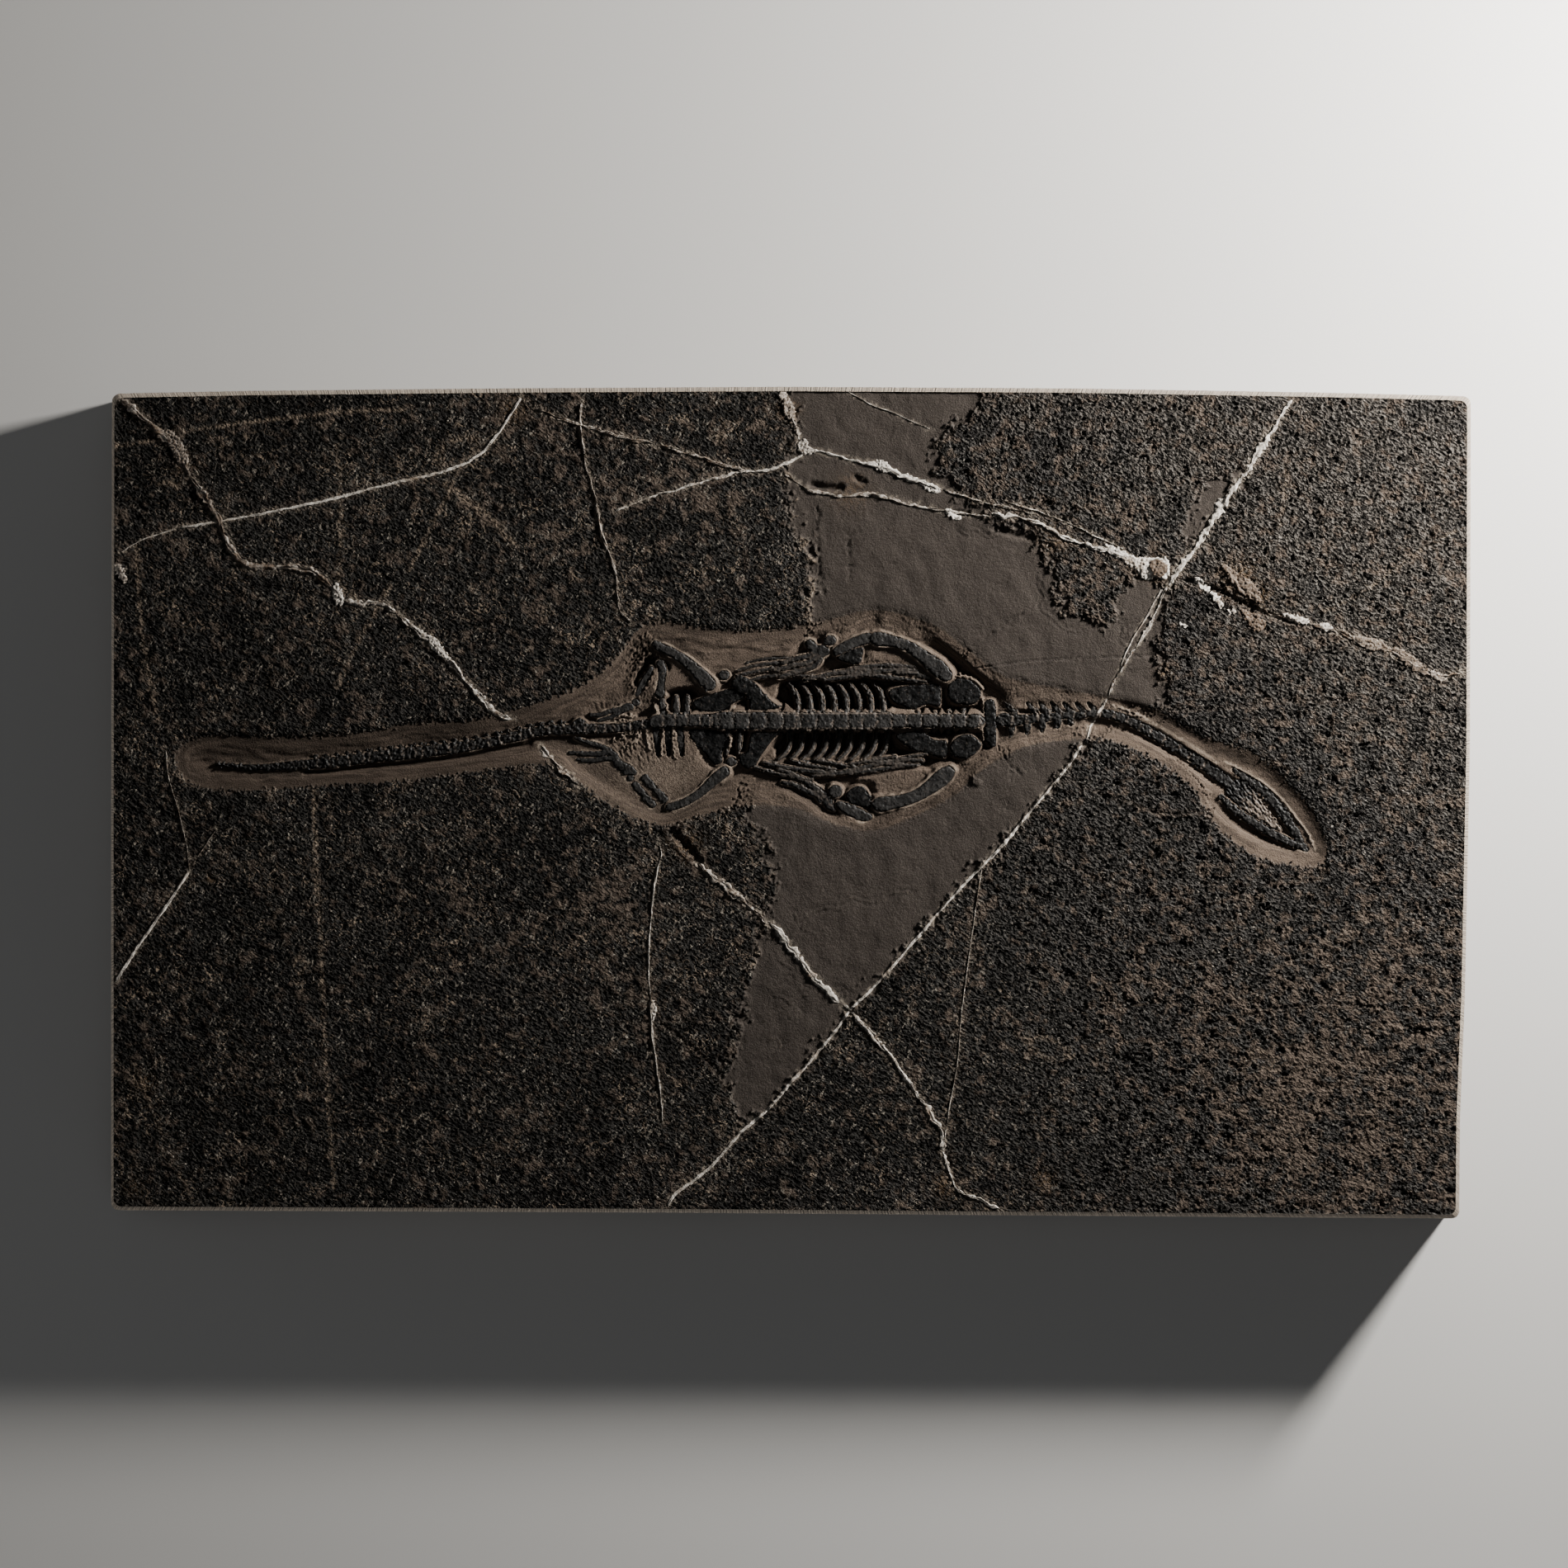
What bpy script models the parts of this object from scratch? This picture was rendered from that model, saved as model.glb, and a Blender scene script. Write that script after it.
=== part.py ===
"""Small marine reptile skeleton lying in a slab of dark limestone.

The slab lies flat with its underside at z = 0 and its middle at the origin. X runs along the slab,
from the tail tip towards the head, and Y runs across it. A shallow trough is cut into the top face,
and the bones lie in it, belly side up. Bones on the +Y side are called upper, the others lower.
"""

import math

import bmesh
import bpy
from mathutils import Vector


# Driving dimensions in metres
SLAB_LENGTH = 0.330
SLAB_THICKNESS = 0.0205
EDGE_CHAMFER = 0.0012
TROUGH_DEPTH = 0.0042
TAIL_TROUGH_DEPTH = 0.0028
TROUGH_WALL = 0.0030
PATCH_DEPTH = 0.0008
VEIN_SLOPE = 0.35
GAP = 0.0003
PLATE_BEVEL = 0.0004

# The outlines below are given in the photograph's pixels, measured from its top left corner.
SLAB_LENGTH_PX = 1649.0
SLAB_MIDDLE_PX = (958.5, 972.5)
TAIL_TIP_PX = 214.0
TAIL_ROOT_PX = 690.0

PIXEL = SLAB_LENGTH / SLAB_LENGTH_PX
FLOOR = SLAB_THICKNESS - TROUGH_DEPTH
TAIL_RAMP = (TROUGH_DEPTH - TAIL_TROUGH_DEPTH) / ((TAIL_ROOT_PX - TAIL_TIP_PX) * PIXEL)
TAIL_ROOT_X = (TAIL_ROOT_PX - SLAB_MIDDLE_PX[0]) * PIXEL


SLAB_OUTLINE = [
    (148, 476), (300, 473), (600, 470), (950, 468), (1300, 470), (1600, 475), (1764, 479),
    (1778, 486), (1783, 500), (1782, 900), (1776, 1200), (1770, 1350), (1769, 1462), (1765, 1473),
    (1754, 1477), (1200, 1473), (820, 1470), (148, 1467), (138, 1463), (134, 1452), (134, 980),
    (135, 492), (138, 481),
]

TROUGH_OUTLINE = [
    (214, 925), (226, 900), (265, 892), (330, 895), (430, 890), (500, 878), (580, 872), (650, 853),
    (710, 828), (745, 800), (772, 767), (800, 754), (880, 765), (960, 761), (1010, 750),
    (1064, 740), (1128, 757), (1165, 782), (1210, 817), (1250, 829), (1340, 845), (1400, 860),
    (1450, 891), (1515, 912), (1555, 944), (1590, 985), (1606, 1022), (1602, 1046), (1560, 1046),
    (1515, 1033), (1478, 1003), (1460, 974), (1436, 944), (1395, 917), (1345, 896), (1300, 895),
    (1240, 905), (1190, 932), (1160, 960), (1115, 985), (1062, 1005), (1020, 1000), (960, 978),
    (900, 976), (850, 987), (804, 1000), (760, 985), (715, 957), (670, 926), (600, 931),
    (480, 946), (380, 952), (285, 957), (232, 950),
]

# The smooth patch is where the grainy crust has flaked off, one low step down.
PATCH_OUTLINE = [
    (968, 455), (965, 520), (952, 575), (965, 640), (985, 680), (984, 720), (975, 800),
    (905, 985), (935, 1040), (940, 1080), (916, 1150), (895, 1230), (881, 1310), (896, 1352),
    (952, 1305), (1022, 1221), (1092, 1146), (1162, 1066), (1227, 996), (1276, 938), (1300, 900),
    (1326, 845), (1340, 757), (1285, 735), (1275, 690), (1255, 652), (1200, 624), (1140, 572),
    (1132, 540), (1182, 500), (1192, 455),
]

# Each vein is a level, a half width in pixels and the points along its crest.
CRUST = "crust"
PATCH = "patch"
VEINS = {
    "long_diagonal_top": (CRUST, 4.0, [
        (1560, 490), (1535, 530), (1490, 600), (1455, 655), (1412, 720), (1380, 770), (1350, 828),
        (1335, 862)]),
    "long_diagonal_low": (CRUST, 3.5, [
        (1322, 880), (1290, 938), (1238, 1000), (1172, 1070), (1102, 1150), (1032, 1225),
        (962, 1310), (905, 1368), (860, 1415), (818, 1447), (810, 1455)]),
    "left_crossing": (CRUST, 3.0, [
        (630, 489), (600, 530), (560, 564), (450, 592), (330, 620), (215, 640), (146, 670)]),
    "left_steps": (CRUST, 2.5, [
        (156, 494), (212, 540), (265, 630), (305, 688), (378, 693), (412, 726), (475, 737),
        (530, 785), (590, 855), (640, 892), (700, 950)]),
    "top_sweep": (CRUST, 3.0, [
        (650, 492), (720, 520), (830, 548), (905, 571), (945, 565)]),
    "middle_drop": (CRUST, 2.0, [(704, 489), (712, 560), (745, 690), (768, 756)]),
    "patch_arch": (PATCH, 3.0, [(962, 556), (985, 545), (1045, 560), (1090, 577), (1136, 592)]),
    "patch_sweep": (PATCH, 3.5, [(953, 572), (985, 585), (1060, 598), (1150, 618), (1200, 625)]),
    "right_sweep": (CRUST, 5.0, [(1207, 629), (1300, 655), (1380, 680), (1428, 700)]),
    "right_tail": (CRUST, 3.0, [
        (1426, 701), (1500, 728), (1580, 755), (1650, 780), (1740, 816), (1765, 817)]),
    "crust_branch": (CRUST, 2.5, [(808, 1000), (850, 1050), (880, 1075), (918, 1104)]),
    "patch_branch": (PATCH, 2.5, [(930, 1114), (960, 1150), (990, 1190), (1022, 1219)]),
    "low_branch": (CRUST, 3.0, [
        (1032, 1226), (1075, 1275), (1120, 1340), (1142, 1395), (1162, 1440), (1204, 1458)]),
    "low_splinter": (CRUST, 2.0, [(1188, 1062), (1165, 1230), (1143, 1372)]),
    "left_rise": (CRUST, 2.5, [(142, 1188), (200, 1100), (228, 1055), (212, 980), (202, 905)]),
    "left_drop": (CRUST, 2.5, [(798, 1004), (788, 1120), (793, 1270), (803, 1358)]),
}

# A rod is a list of points along a bone: pixel x, pixel y, half width in pixels and, where it is
# given, the height of its middle over the trough floor in millimetres.
LIMB_BONES = {
    "humerus_upper": [
        (1060, 773, 5), (1064, 774, 8.5), (1080, 776, 7.5), (1097, 782, 8), (1112, 791, 9.5),
        (1125, 801, 12), (1137, 811, 12.5), (1145, 818, 7)],
    "humerus_lower": [
        (1063, 974, 6), (1068, 974, 9), (1086, 971, 8.5), (1103, 965, 8.5), (1118, 956, 10),
        (1131, 946, 12), (1143, 937, 12), (1149, 932, 7)],
    "radius_upper": [
        (1054, 773, 5), (1049, 774, 6.5), (1036, 778, 6), (1023, 784, 6), (1014, 789, 5)],
    "radius_lower": [
        (1016, 974, 3), (1022, 978, 5.5), (1034, 984, 6.5), (1045, 989, 6.5), (1053, 990, 4)],
    "femur_upper": [
        (793, 781, 3), (800, 784, 5), (815, 791, 6.5), (829, 799, 7.5), (842, 810, 9),
        (853, 821, 10.5), (859, 829, 7)],
    "femur_lower": [
        (811, 980, 4), (816, 979, 5.5), (830, 974, 6.5), (845, 965, 7), (857, 955, 8.5),
        (868, 945, 9), (876, 938, 5)],
    "tibia_upper": [(799, 806, 3), (801, 812, 4.5), (801, 826, 4.5), (799, 838, 4)],
    "tibia_lower": [(779, 944, 3.5), (787, 951, 5), (797, 961, 5), (803, 967, 4)],
    "fibula_upper": [(789, 810, 3), (784, 819, 4), (777, 831, 4), (772, 841, 3)],
    "fibula_lower": [(768, 955, 3), (775, 962, 4.5), (783, 969, 4.5), (788, 973, 3)],
}

PLATE_BONES = {
    "coracoid_upper": [
        (1077, 838), (1092, 832), (1115, 830), (1137, 829), (1140, 843), (1138, 856), (1126, 853),
        (1116, 856), (1108, 860), (1100, 859), (1094, 855), (1083, 850)],
    "coracoid_lower": [
        (1086, 891), (1100, 887), (1117, 887), (1124, 892), (1133, 897), (1146, 898), (1148, 908),
        (1145, 918), (1130, 915), (1110, 909), (1095, 901)],
    "scapula_upper": [
        (1148, 836), (1153, 826), (1165, 822), (1180, 827), (1188, 837), (1187, 846), (1180, 853),
        (1165, 853), (1153, 849)],
    "scapula_lower": [
        (1152, 903), (1159, 894), (1173, 890), (1183, 895), (1189, 902), (1184, 911), (1174, 918),
        (1161, 918), (1153, 912)],
    "clavicle": [
        (1193, 851), (1204, 849), (1207, 866), (1207, 892), (1206, 905), (1196, 899), (1194, 876)],
    "ulna_upper": [
        (1014, 798), (1021, 792), (1033, 787), (1045, 785), (1045, 794), (1041, 804), (1029, 803)],
    "ulna_lower": [
        (1025, 963), (1033, 955), (1043, 953), (1051, 959), (1055, 970), (1055, 979), (1043, 977),
        (1030, 972)],
    "pubis_upper": [
        (886, 828), (893, 819), (903, 821), (915, 828), (925, 840), (936, 851), (944, 857),
        (932, 860), (910, 860), (908, 850), (902, 842), (893, 838)],
    "pubis_lower": [
        (911, 888), (930, 888), (943, 888), (935, 897), (927, 908), (920, 918), (914, 928),
        (903, 930), (896, 922), (897, 914), (906, 910)],
    "ischium_upper": [
        (838, 843), (860, 842), (878, 838), (888, 842), (883, 850), (876, 858), (862, 862),
        (842, 861)],
    "ischium_lower": [
        (837, 888), (850, 887), (863, 888), (871, 893), (870, 904), (868, 918), (862, 927),
        (853, 927), (847, 918), (841, 905)],
}

# Small rounded bones: middle and the two half sizes, in pixels.
PEBBLE_BONES = {
    "ilium_upper": (877, 818, 6.5, 6.0),
    "ilium_lower": (886, 923, 6.0, 5.5),
    "wrist_bone_upper": (1006, 776, 7.0, 6.0),
    "wrist_bone_lower": (1012, 959, 8.0, 7.5),
    "ankle_bone_upper": (770, 851, 5.0, 4.5),
    "ankle_bone_lower": (763, 943, 4.5, 4.0),
}

# A fan is a palm or a sole with the digits that leave it, as rods fused into one piece.
FANS = {
    "hand_upper": [
        [(1001, 790, 4), (996, 789, 7), (989, 792, 8), (984, 796, 5)],
        [(990, 790, 4), (982, 781, 5.5), (979, 778, 3)],
        [(990, 796, 3), (976, 804, 3), (962, 806, 3.2), (950, 810, 2.6), (938, 812, 2)],
        [(994, 798, 3), (988, 806, 3.4), (974, 812, 3), (958, 816, 3), (944, 821, 2)],
        [(984, 794, 3), (970, 797, 3), (958, 800, 2.6), (948, 803, 2)],
    ],
    "hand_lower": [
        [(1006, 972, 3), (1000, 968, 6), (993, 962, 6.5), (988, 956, 4)],
        [(995, 962, 3), (983, 951, 3.4), (971, 944, 3), (958, 937, 3.2), (944, 932, 2)],
        [(997, 964, 3), (984, 961, 3.2), (972, 955, 3), (960, 950, 2.6), (948, 948, 2)],
        [(1000, 968, 3), (1003, 976, 3.4), (1010, 981, 2.4)],
    ],
    "foot_upper": [
        [(765, 857, 3), (760, 857, 5), (752, 861, 4), (744, 866, 2.5)],
        [(755, 860, 3), (742, 861, 2.6), (728, 866, 2.8), (716, 866, 2)],
        [(752, 862, 3), (740, 869, 2.6), (726, 873, 2)],
    ],
    "foot_lower": [
        [(767, 936, 4), (761, 933, 6), (752, 928, 6), (746, 923, 4)],
        [(752, 926, 3), (742, 919, 3.6), (728, 920, 3), (712, 922, 3), (700, 920, 2)],
        [(750, 925, 3), (740, 911, 3.4), (724, 914, 3), (706, 913, 2.8), (690, 912, 2)],
        [(742, 912, 3), (729, 905, 3), (716, 901, 2.6), (704, 897, 2), (697, 894, 1.6)],
    ],
    "gastralia_upper": [
        [(1128, 822, 1.6), (1104, 815, 2.6), (1062, 812, 2.8), (1020, 814, 2.6), (975, 824, 1.8)],
        [(1112, 812, 1.6), (1080, 811, 2.4), (1040, 818, 2.6), (1000, 824, 1.8)],
        [(1122, 826, 1.6), (1080, 821, 2.6), (1036, 815, 2.6), (1004, 816, 1.8)],
        [(1110, 808, 1.6), (1076, 806, 2.4), (1040, 809, 2.4), (1012, 817, 1.8)],
    ],
    "gastralia_lower": [
        [(925, 924, 1.8), (960, 931, 2.6), (1000, 936, 2.8), (1045, 935, 2.6), (1100, 927, 1.8)],
        [(1118, 921, 1.6), (1085, 922, 2.4), (1050, 929, 2.6), (1010, 938, 2.4), (985, 940, 1.8)],
        [(1045, 922, 1.6), (1070, 924, 2.4), (1095, 927, 2.4), (1112, 927, 1.8)],
    ],
}

SKULL_OUTLINE = [
    (1489, 962), (1497, 954), (1507, 951), (1516, 958), (1526, 971), (1538, 987), (1547, 1000),
    (1545, 1004), (1535, 998), (1517, 987), (1499, 974),
]
JAW_LEFT = [
    (1479, 966, 2.5), (1485, 972, 4), (1500, 984, 4.5), (1520, 997, 5), (1540, 1009, 5.5),
    (1560, 1019, 5.5), (1576, 1026, 5), (1583, 1029, 3)]
JAW_RIGHT = [
    (1518, 947, 3), (1524, 952, 5.5), (1537, 966, 7), (1550, 984, 7), (1561, 1001, 6.5),
    (1570, 1014, 6), (1576, 1024, 5)]

NECK_PATH = [
    (1212, 872, 5), (1216, 872, 7.5), (1230, 873, 6.5), (1248, 871, 4.8), (1266, 870, 4.8),
    (1284, 867, 4.2), (1302, 867, 4.0), (1320, 865, 4.0), (1334, 864, 4.5), (1350, 868, 5.5),
    (1372, 876, 6.5), (1400, 892, 7), (1428, 908, 7), (1452, 923, 7.5), (1470, 936, 8),
    (1482, 946, 6)]
TAIL_PATH = [
    (264, 926, 1.6), (310, 930, 3.2), (360, 927, 5), (400, 924, 6), (440, 919, 6), (480, 914, 7),
    (520, 910, 6.5), (560, 905, 6.5), (600, 898, 5), (630, 891, 6), (655, 886, 5), (690, 884, 5.5),
    (722, 883, 5.5), (750, 882, 5), (784, 877, 5.5)]
BIG_CAUDAL = (702, 879, 9.0, 8.0)
HIP_PATH = [
    (791, 875, 5), (797, 874, 7.5), (818, 873, 7.5), (845, 873, 7), (862, 873, 7.5)]

TRUNK_START = 870.0
TRUNK_END = 1188.0
TRUNK_ROW = 873.5
TRUNK_VERTEBRAE = 18
CENTRUM_HALF_WIDTH = 10.5
JOINT_HALF_WIDTH = 8.0
COLUMN_HEIGHT = 2.1

UPPER_RIB_COUNT = 8
UPPER_RIB_FIRST = 966.0
LOWER_RIB_COUNT = 9
LOWER_RIB_FIRST = 955.0
RIB_PITCH = 14.8
RIB_HALF_WIDTH = 2.6


def place(px, py):
    """Turns a pixel of the photograph into x and y in metres."""
    return (px - SLAB_MIDDLE_PX[0]) * PIXEL, (SLAB_MIDDLE_PX[1] - py) * PIXEL


def floor_height(x):
    """Height of the trough floor, which rises gently towards the tail tip."""
    return FLOOR + max(0.0, TAIL_ROOT_X - x) * TAIL_RAMP


def make_material(name, colour, roughness):
    material = bpy.data.materials.new(name)
    material.use_nodes = True
    shader = material.node_tree.nodes["Principled BSDF"]
    shader.inputs["Base Color"].default_value = (*colour, 1.0)
    shader.inputs["Roughness"].default_value = roughness
    shader.inputs["Metallic"].default_value = 0.0
    return material


def make_collection(name):
    collection = bpy.data.collections.new(name)
    bpy.context.scene.collection.children.link(collection)
    return collection


def add_object(name, data, collection):
    obj = bpy.data.objects.new(name, data)
    collection.objects.link(obj)
    return obj


def weld(mesh, flat_caps=False):
    """Joins the loose caps of a filled curve to its sides, and clears the lines across flat caps."""
    shape = bmesh.new()
    shape.from_mesh(mesh)
    bmesh.ops.remove_doubles(shape, verts=shape.verts, dist=0.000002)
    if flat_caps:
        bmesh.ops.dissolve_limit(shape, angle_limit=0.001, verts=shape.verts, edges=shape.edges)
    bmesh.ops.recalc_face_normals(shape, faces=shape.faces)
    shape.to_mesh(mesh)
    shape.free()


def curve_to_mesh(curve_object, name, collection, flat_caps=False):
    """Replaces a curve object by a welded mesh object that stands in the same place."""
    bpy.context.view_layer.update()
    evaluated = curve_object.evaluated_get(bpy.context.evaluated_depsgraph_get())
    mesh = bpy.data.meshes.new_from_object(evaluated)
    mesh.transform(curve_object.matrix_world)
    weld(mesh, flat_caps)
    curve = curve_object.data
    bpy.data.objects.remove(curve_object)
    bpy.data.curves.remove(curve)
    mesh.name = name
    return add_object(name, mesh, collection)


def extruded_outline(name, outline, low, high, collection, smooth=False):
    """A flat outline in pixels, filled and extruded from one height to another."""
    curve = bpy.data.curves.new(name + "_outline", 'CURVE')
    curve.dimensions = '2D'
    curve.fill_mode = 'BOTH'
    curve.extrude = (high - low) / 2
    if smooth:
        spline = curve.splines.new('BEZIER')
        spline.bezier_points.add(len(outline) - 1)
        for point, (px, py) in zip(spline.bezier_points, outline):
            point.co = (*place(px, py), 0.0)
            point.handle_left_type = 'AUTO'
            point.handle_right_type = 'AUTO'
        curve.resolution_u = 2
    else:
        spline = curve.splines.new('POLY')
        spline.points.add(len(outline) - 1)
        for point, (px, py) in zip(spline.points, outline):
            point.co = (*place(px, py), 0.0, 1.0)
    spline.use_cyclic_u = True
    holder = add_object(name + "_outline", curve, collection)
    holder.location.z = (low + high) / 2
    return curve_to_mesh(holder, name, collection, flat_caps=True)


def rod(name, path, collection, sides=8, flat=0.8, base=None):
    """A bone with a round section that swells and narrows along its path.

    The section is flattened to the given share of its width. Without a height the rod rests just
    over the trough floor, or over the given base height.
    """
    curve = bpy.data.curves.new(name + "_path", 'CURVE')
    curve.dimensions = '3D'
    curve.twist_mode = 'Z_UP'
    curve.bevel_depth = PIXEL
    curve.bevel_resolution = sides // 2 - 2
    curve.use_fill_caps = True
    widest = max(point[2] for point in path) * PIXEL * flat
    spline = curve.splines.new('POLY')
    spline.points.add(len(path) - 1)
    for point, step in zip(spline.points, path):
        x, y = place(step[0], step[1])
        ground = floor_height(x) if base is None else base
        middle = ground + (step[3] * 0.001 if len(step) > 3 else GAP + widest)
        point.co = (x, y, middle / flat, 1.0)
        point.radius = step[2]
    holder = add_object(name + "_path", curve, collection)
    holder.scale.z = flat
    return curve_to_mesh(holder, name, collection)


def pebble(name, shape, collection, height=0.0018):
    """A small rounded bone made from a squashed ball."""
    px, py, half_x, half_y = shape
    x, y = place(px, py)
    bpy.ops.mesh.primitive_uv_sphere_add(segments=10, ring_count=6, radius=1.0)
    ball = bpy.context.object
    ball.name = name
    ball.data.name = name
    size = Vector((half_x * PIXEL, half_y * PIXEL, height / 2))
    for vertex in ball.data.vertices:
        vertex.co = Vector(c * s for c, s in zip(vertex.co, size))
    ball.location = (x, y, floor_height(x) + GAP + height / 2)
    for holder in ball.users_collection:
        holder.objects.unlink(ball)
    collection.objects.link(ball)
    return ball


def fuse(name, bodies, collection):
    """Joins overlapping bodies into one closed piece."""
    base = bodies[0]
    for other in bodies[1:]:
        join = base.modifiers.new("Join", 'BOOLEAN')
        join.operation = 'UNION'
        join.solver = 'EXACT'
        join.object = other
    bpy.context.view_layer.update()
    evaluated = base.evaluated_get(bpy.context.evaluated_depsgraph_get())
    mesh = bpy.data.meshes.new_from_object(evaluated)
    mesh.transform(base.matrix_world)
    weld(mesh)
    for body in bodies:
        bpy.data.objects.remove(body)
    mesh.name = name
    return add_object(name, mesh, collection)


def soften(obj, width, angle=50.0):
    """Breaks the sharp edges of a piece with a small bevel."""
    bevel = obj.modifiers.new("Soft edges", 'BEVEL')
    bevel.width = width
    bevel.segments = 1
    bevel.limit_method = 'ANGLE'
    bevel.angle_limit = math.radians(angle)
    return obj


def finish(obj, material):
    """Gives a piece its material and smooth shading between its sharp edges."""
    obj.data.materials.clear()
    obj.data.materials.append(material)
    obj.data.shade_smooth()
    obj.data.set_sharp_from_angle(angle=math.radians(40.0))


def weigh_edges(mesh, height, weight=1.0):
    """Marks the edges that lie at one height, for a bevel that works by weight."""
    attribute = mesh.attributes.new("bevel_weight_edge", 'FLOAT', 'EDGE')
    for edge in mesh.edges:
        ends = [mesh.vertices[index].co.z for index in edge.vertices]
        if all(abs(end - height) < 0.00001 for end in ends):
            attribute.data[edge.index].value = weight


def bevel_by_weight(obj, width, segments, profile):
    bevel = obj.modifiers.new("Slope", 'BEVEL')
    bevel.limit_method = 'WEIGHT'
    bevel.width = width
    bevel.segments = segments
    bevel.profile = profile
    return bevel


def bake(obj):
    """Applies a cutter's modifiers by giving it the mesh that they make."""
    bpy.context.view_layer.update()
    evaluated = obj.evaluated_get(bpy.context.evaluated_depsgraph_get())
    mesh = bpy.data.meshes.new_from_object(evaluated)
    obj.modifiers.clear()
    obj.data = mesh


def hide_cutter(obj):
    obj.hide_render = True
    obj.display_type = 'WIRE'


def trough_cutter(cutters):
    """The space of the trough: steep sides, a flat floor and a gentle ramp along the tail."""
    cutter = extruded_outline("trough_cutter", TROUGH_OUTLINE, FLOOR, SLAB_THICKNESS + 0.003,
                              cutters, smooth=True)
    weigh_edges(cutter.data, FLOOR)
    bevel_by_weight(cutter, TROUGH_WALL, 2, 0.42)
    bake(cutter)
    split_at(cutter.data, TAIL_ROOT_X)
    for vertex in cutter.data.vertices:
        vertex.co.z += floor_height(vertex.co.x) - FLOOR
    hide_cutter(cutter)
    return cutter


def split_at(mesh, x):
    """Cuts the faces of a mesh along a plane across X without parting them."""
    shape = bmesh.new()
    shape.from_mesh(mesh)
    everything = list(shape.verts) + list(shape.edges) + list(shape.faces)
    bmesh.ops.bisect_plane(shape, geom=everything, plane_co=(x, 0, 0), plane_no=(1, 0, 0),
                           dist=0.000001)
    shape.to_mesh(mesh)
    shape.free()


def vein_ridge(name, vein, cutters):
    """A low tent-shaped ridge of calcite, half sunk in the face that it crosses."""
    level, half_width, crest = vein
    surface = SLAB_THICKNESS - (PATCH_DEPTH if level == PATCH else 0.0)
    path = [(px, py, half_width, (surface - FLOOR) * 1000) for px, py in crest]
    ridge = rod("vein_" + name, path, cutters, sides=4, flat=VEIN_SLOPE, base=FLOOR)
    hide_cutter(ridge)
    return ridge


def make_slab(parts, cutters, material):
    slab = extruded_outline("slab", SLAB_OUTLINE, 0.0, SLAB_THICKNESS, parts)
    weigh_edges(slab.data, SLAB_THICKNESS)
    bevel_by_weight(slab, EDGE_CHAMFER, 1, 0.5)
    patch = extruded_outline("patch_cutter", PATCH_OUTLINE, SLAB_THICKNESS - PATCH_DEPTH,
                             SLAB_THICKNESS + 0.003, cutters)
    hide_cutter(patch)
    steps = [("Patch", 'DIFFERENCE', patch)]
    for name, vein in VEINS.items():
        steps.append((name, 'UNION', vein_ridge(name, vein, cutters)))
    steps.append(("Trough", 'DIFFERENCE', trough_cutter(cutters)))
    for name, operation, other in steps:
        boolean = slab.modifiers.new(name, 'BOOLEAN')
        boolean.operation = operation
        boolean.solver = 'EXACT'
        boolean.object = other
    finish(slab, material)
    return slab


def trunk_path():
    """Centra that swell between narrower joints, all the way along the back."""
    pitch = (TRUNK_END - TRUNK_START) / TRUNK_VERTEBRAE
    path = []
    for index in range(TRUNK_VERTEBRAE):
        start = TRUNK_START + index * pitch
        path.append((start, TRUNK_ROW, JOINT_HALF_WIDTH, COLUMN_HEIGHT))
        path.append((start + pitch * 0.28, TRUNK_ROW, CENTRUM_HALF_WIDTH, COLUMN_HEIGHT))
        path.append((start + pitch * 0.72, TRUNK_ROW, CENTRUM_HALF_WIDTH, COLUMN_HEIGHT))
    path.append((TRUNK_END, TRUNK_ROW, JOINT_HALF_WIDTH, COLUMN_HEIGHT))
    return path


def upper_rib(root):
    """A rib that leaves the column towards +Y, leans to the tail and sinks to the floor."""
    return [(root + 1, TRUNK_ROW - 4, RIB_HALF_WIDTH, 2.0), (root, TRUNK_ROW - 14, RIB_HALF_WIDTH, 1.8),
            (root - 2, TRUNK_ROW - 28, RIB_HALF_WIDTH, 1.3), (root - 7, TRUNK_ROW - 41, 1.6, 0.9)]


def lower_rib(root):
    """A rib that leaves the column towards -Y and hooks back towards the tail."""
    return [(root + 1, TRUNK_ROW + 4, RIB_HALF_WIDTH, 2.0), (root, TRUNK_ROW + 16, RIB_HALF_WIDTH, 1.7),
            (root - 3, TRUNK_ROW + 32, RIB_HALF_WIDTH, 1.2), (root - 9, TRUNK_ROW + 43, 1.6, 0.9)]


def stub(x, y, dx, dy, half_width):
    """A short straight process from a column, given by its root and its reach."""
    return [(x, y, half_width, 1.5), (x + dx * 0.6, y + dy * 0.6, half_width, 1.3),
            (x + dx, y + dy, half_width * 0.6, 1.1)]


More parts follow.
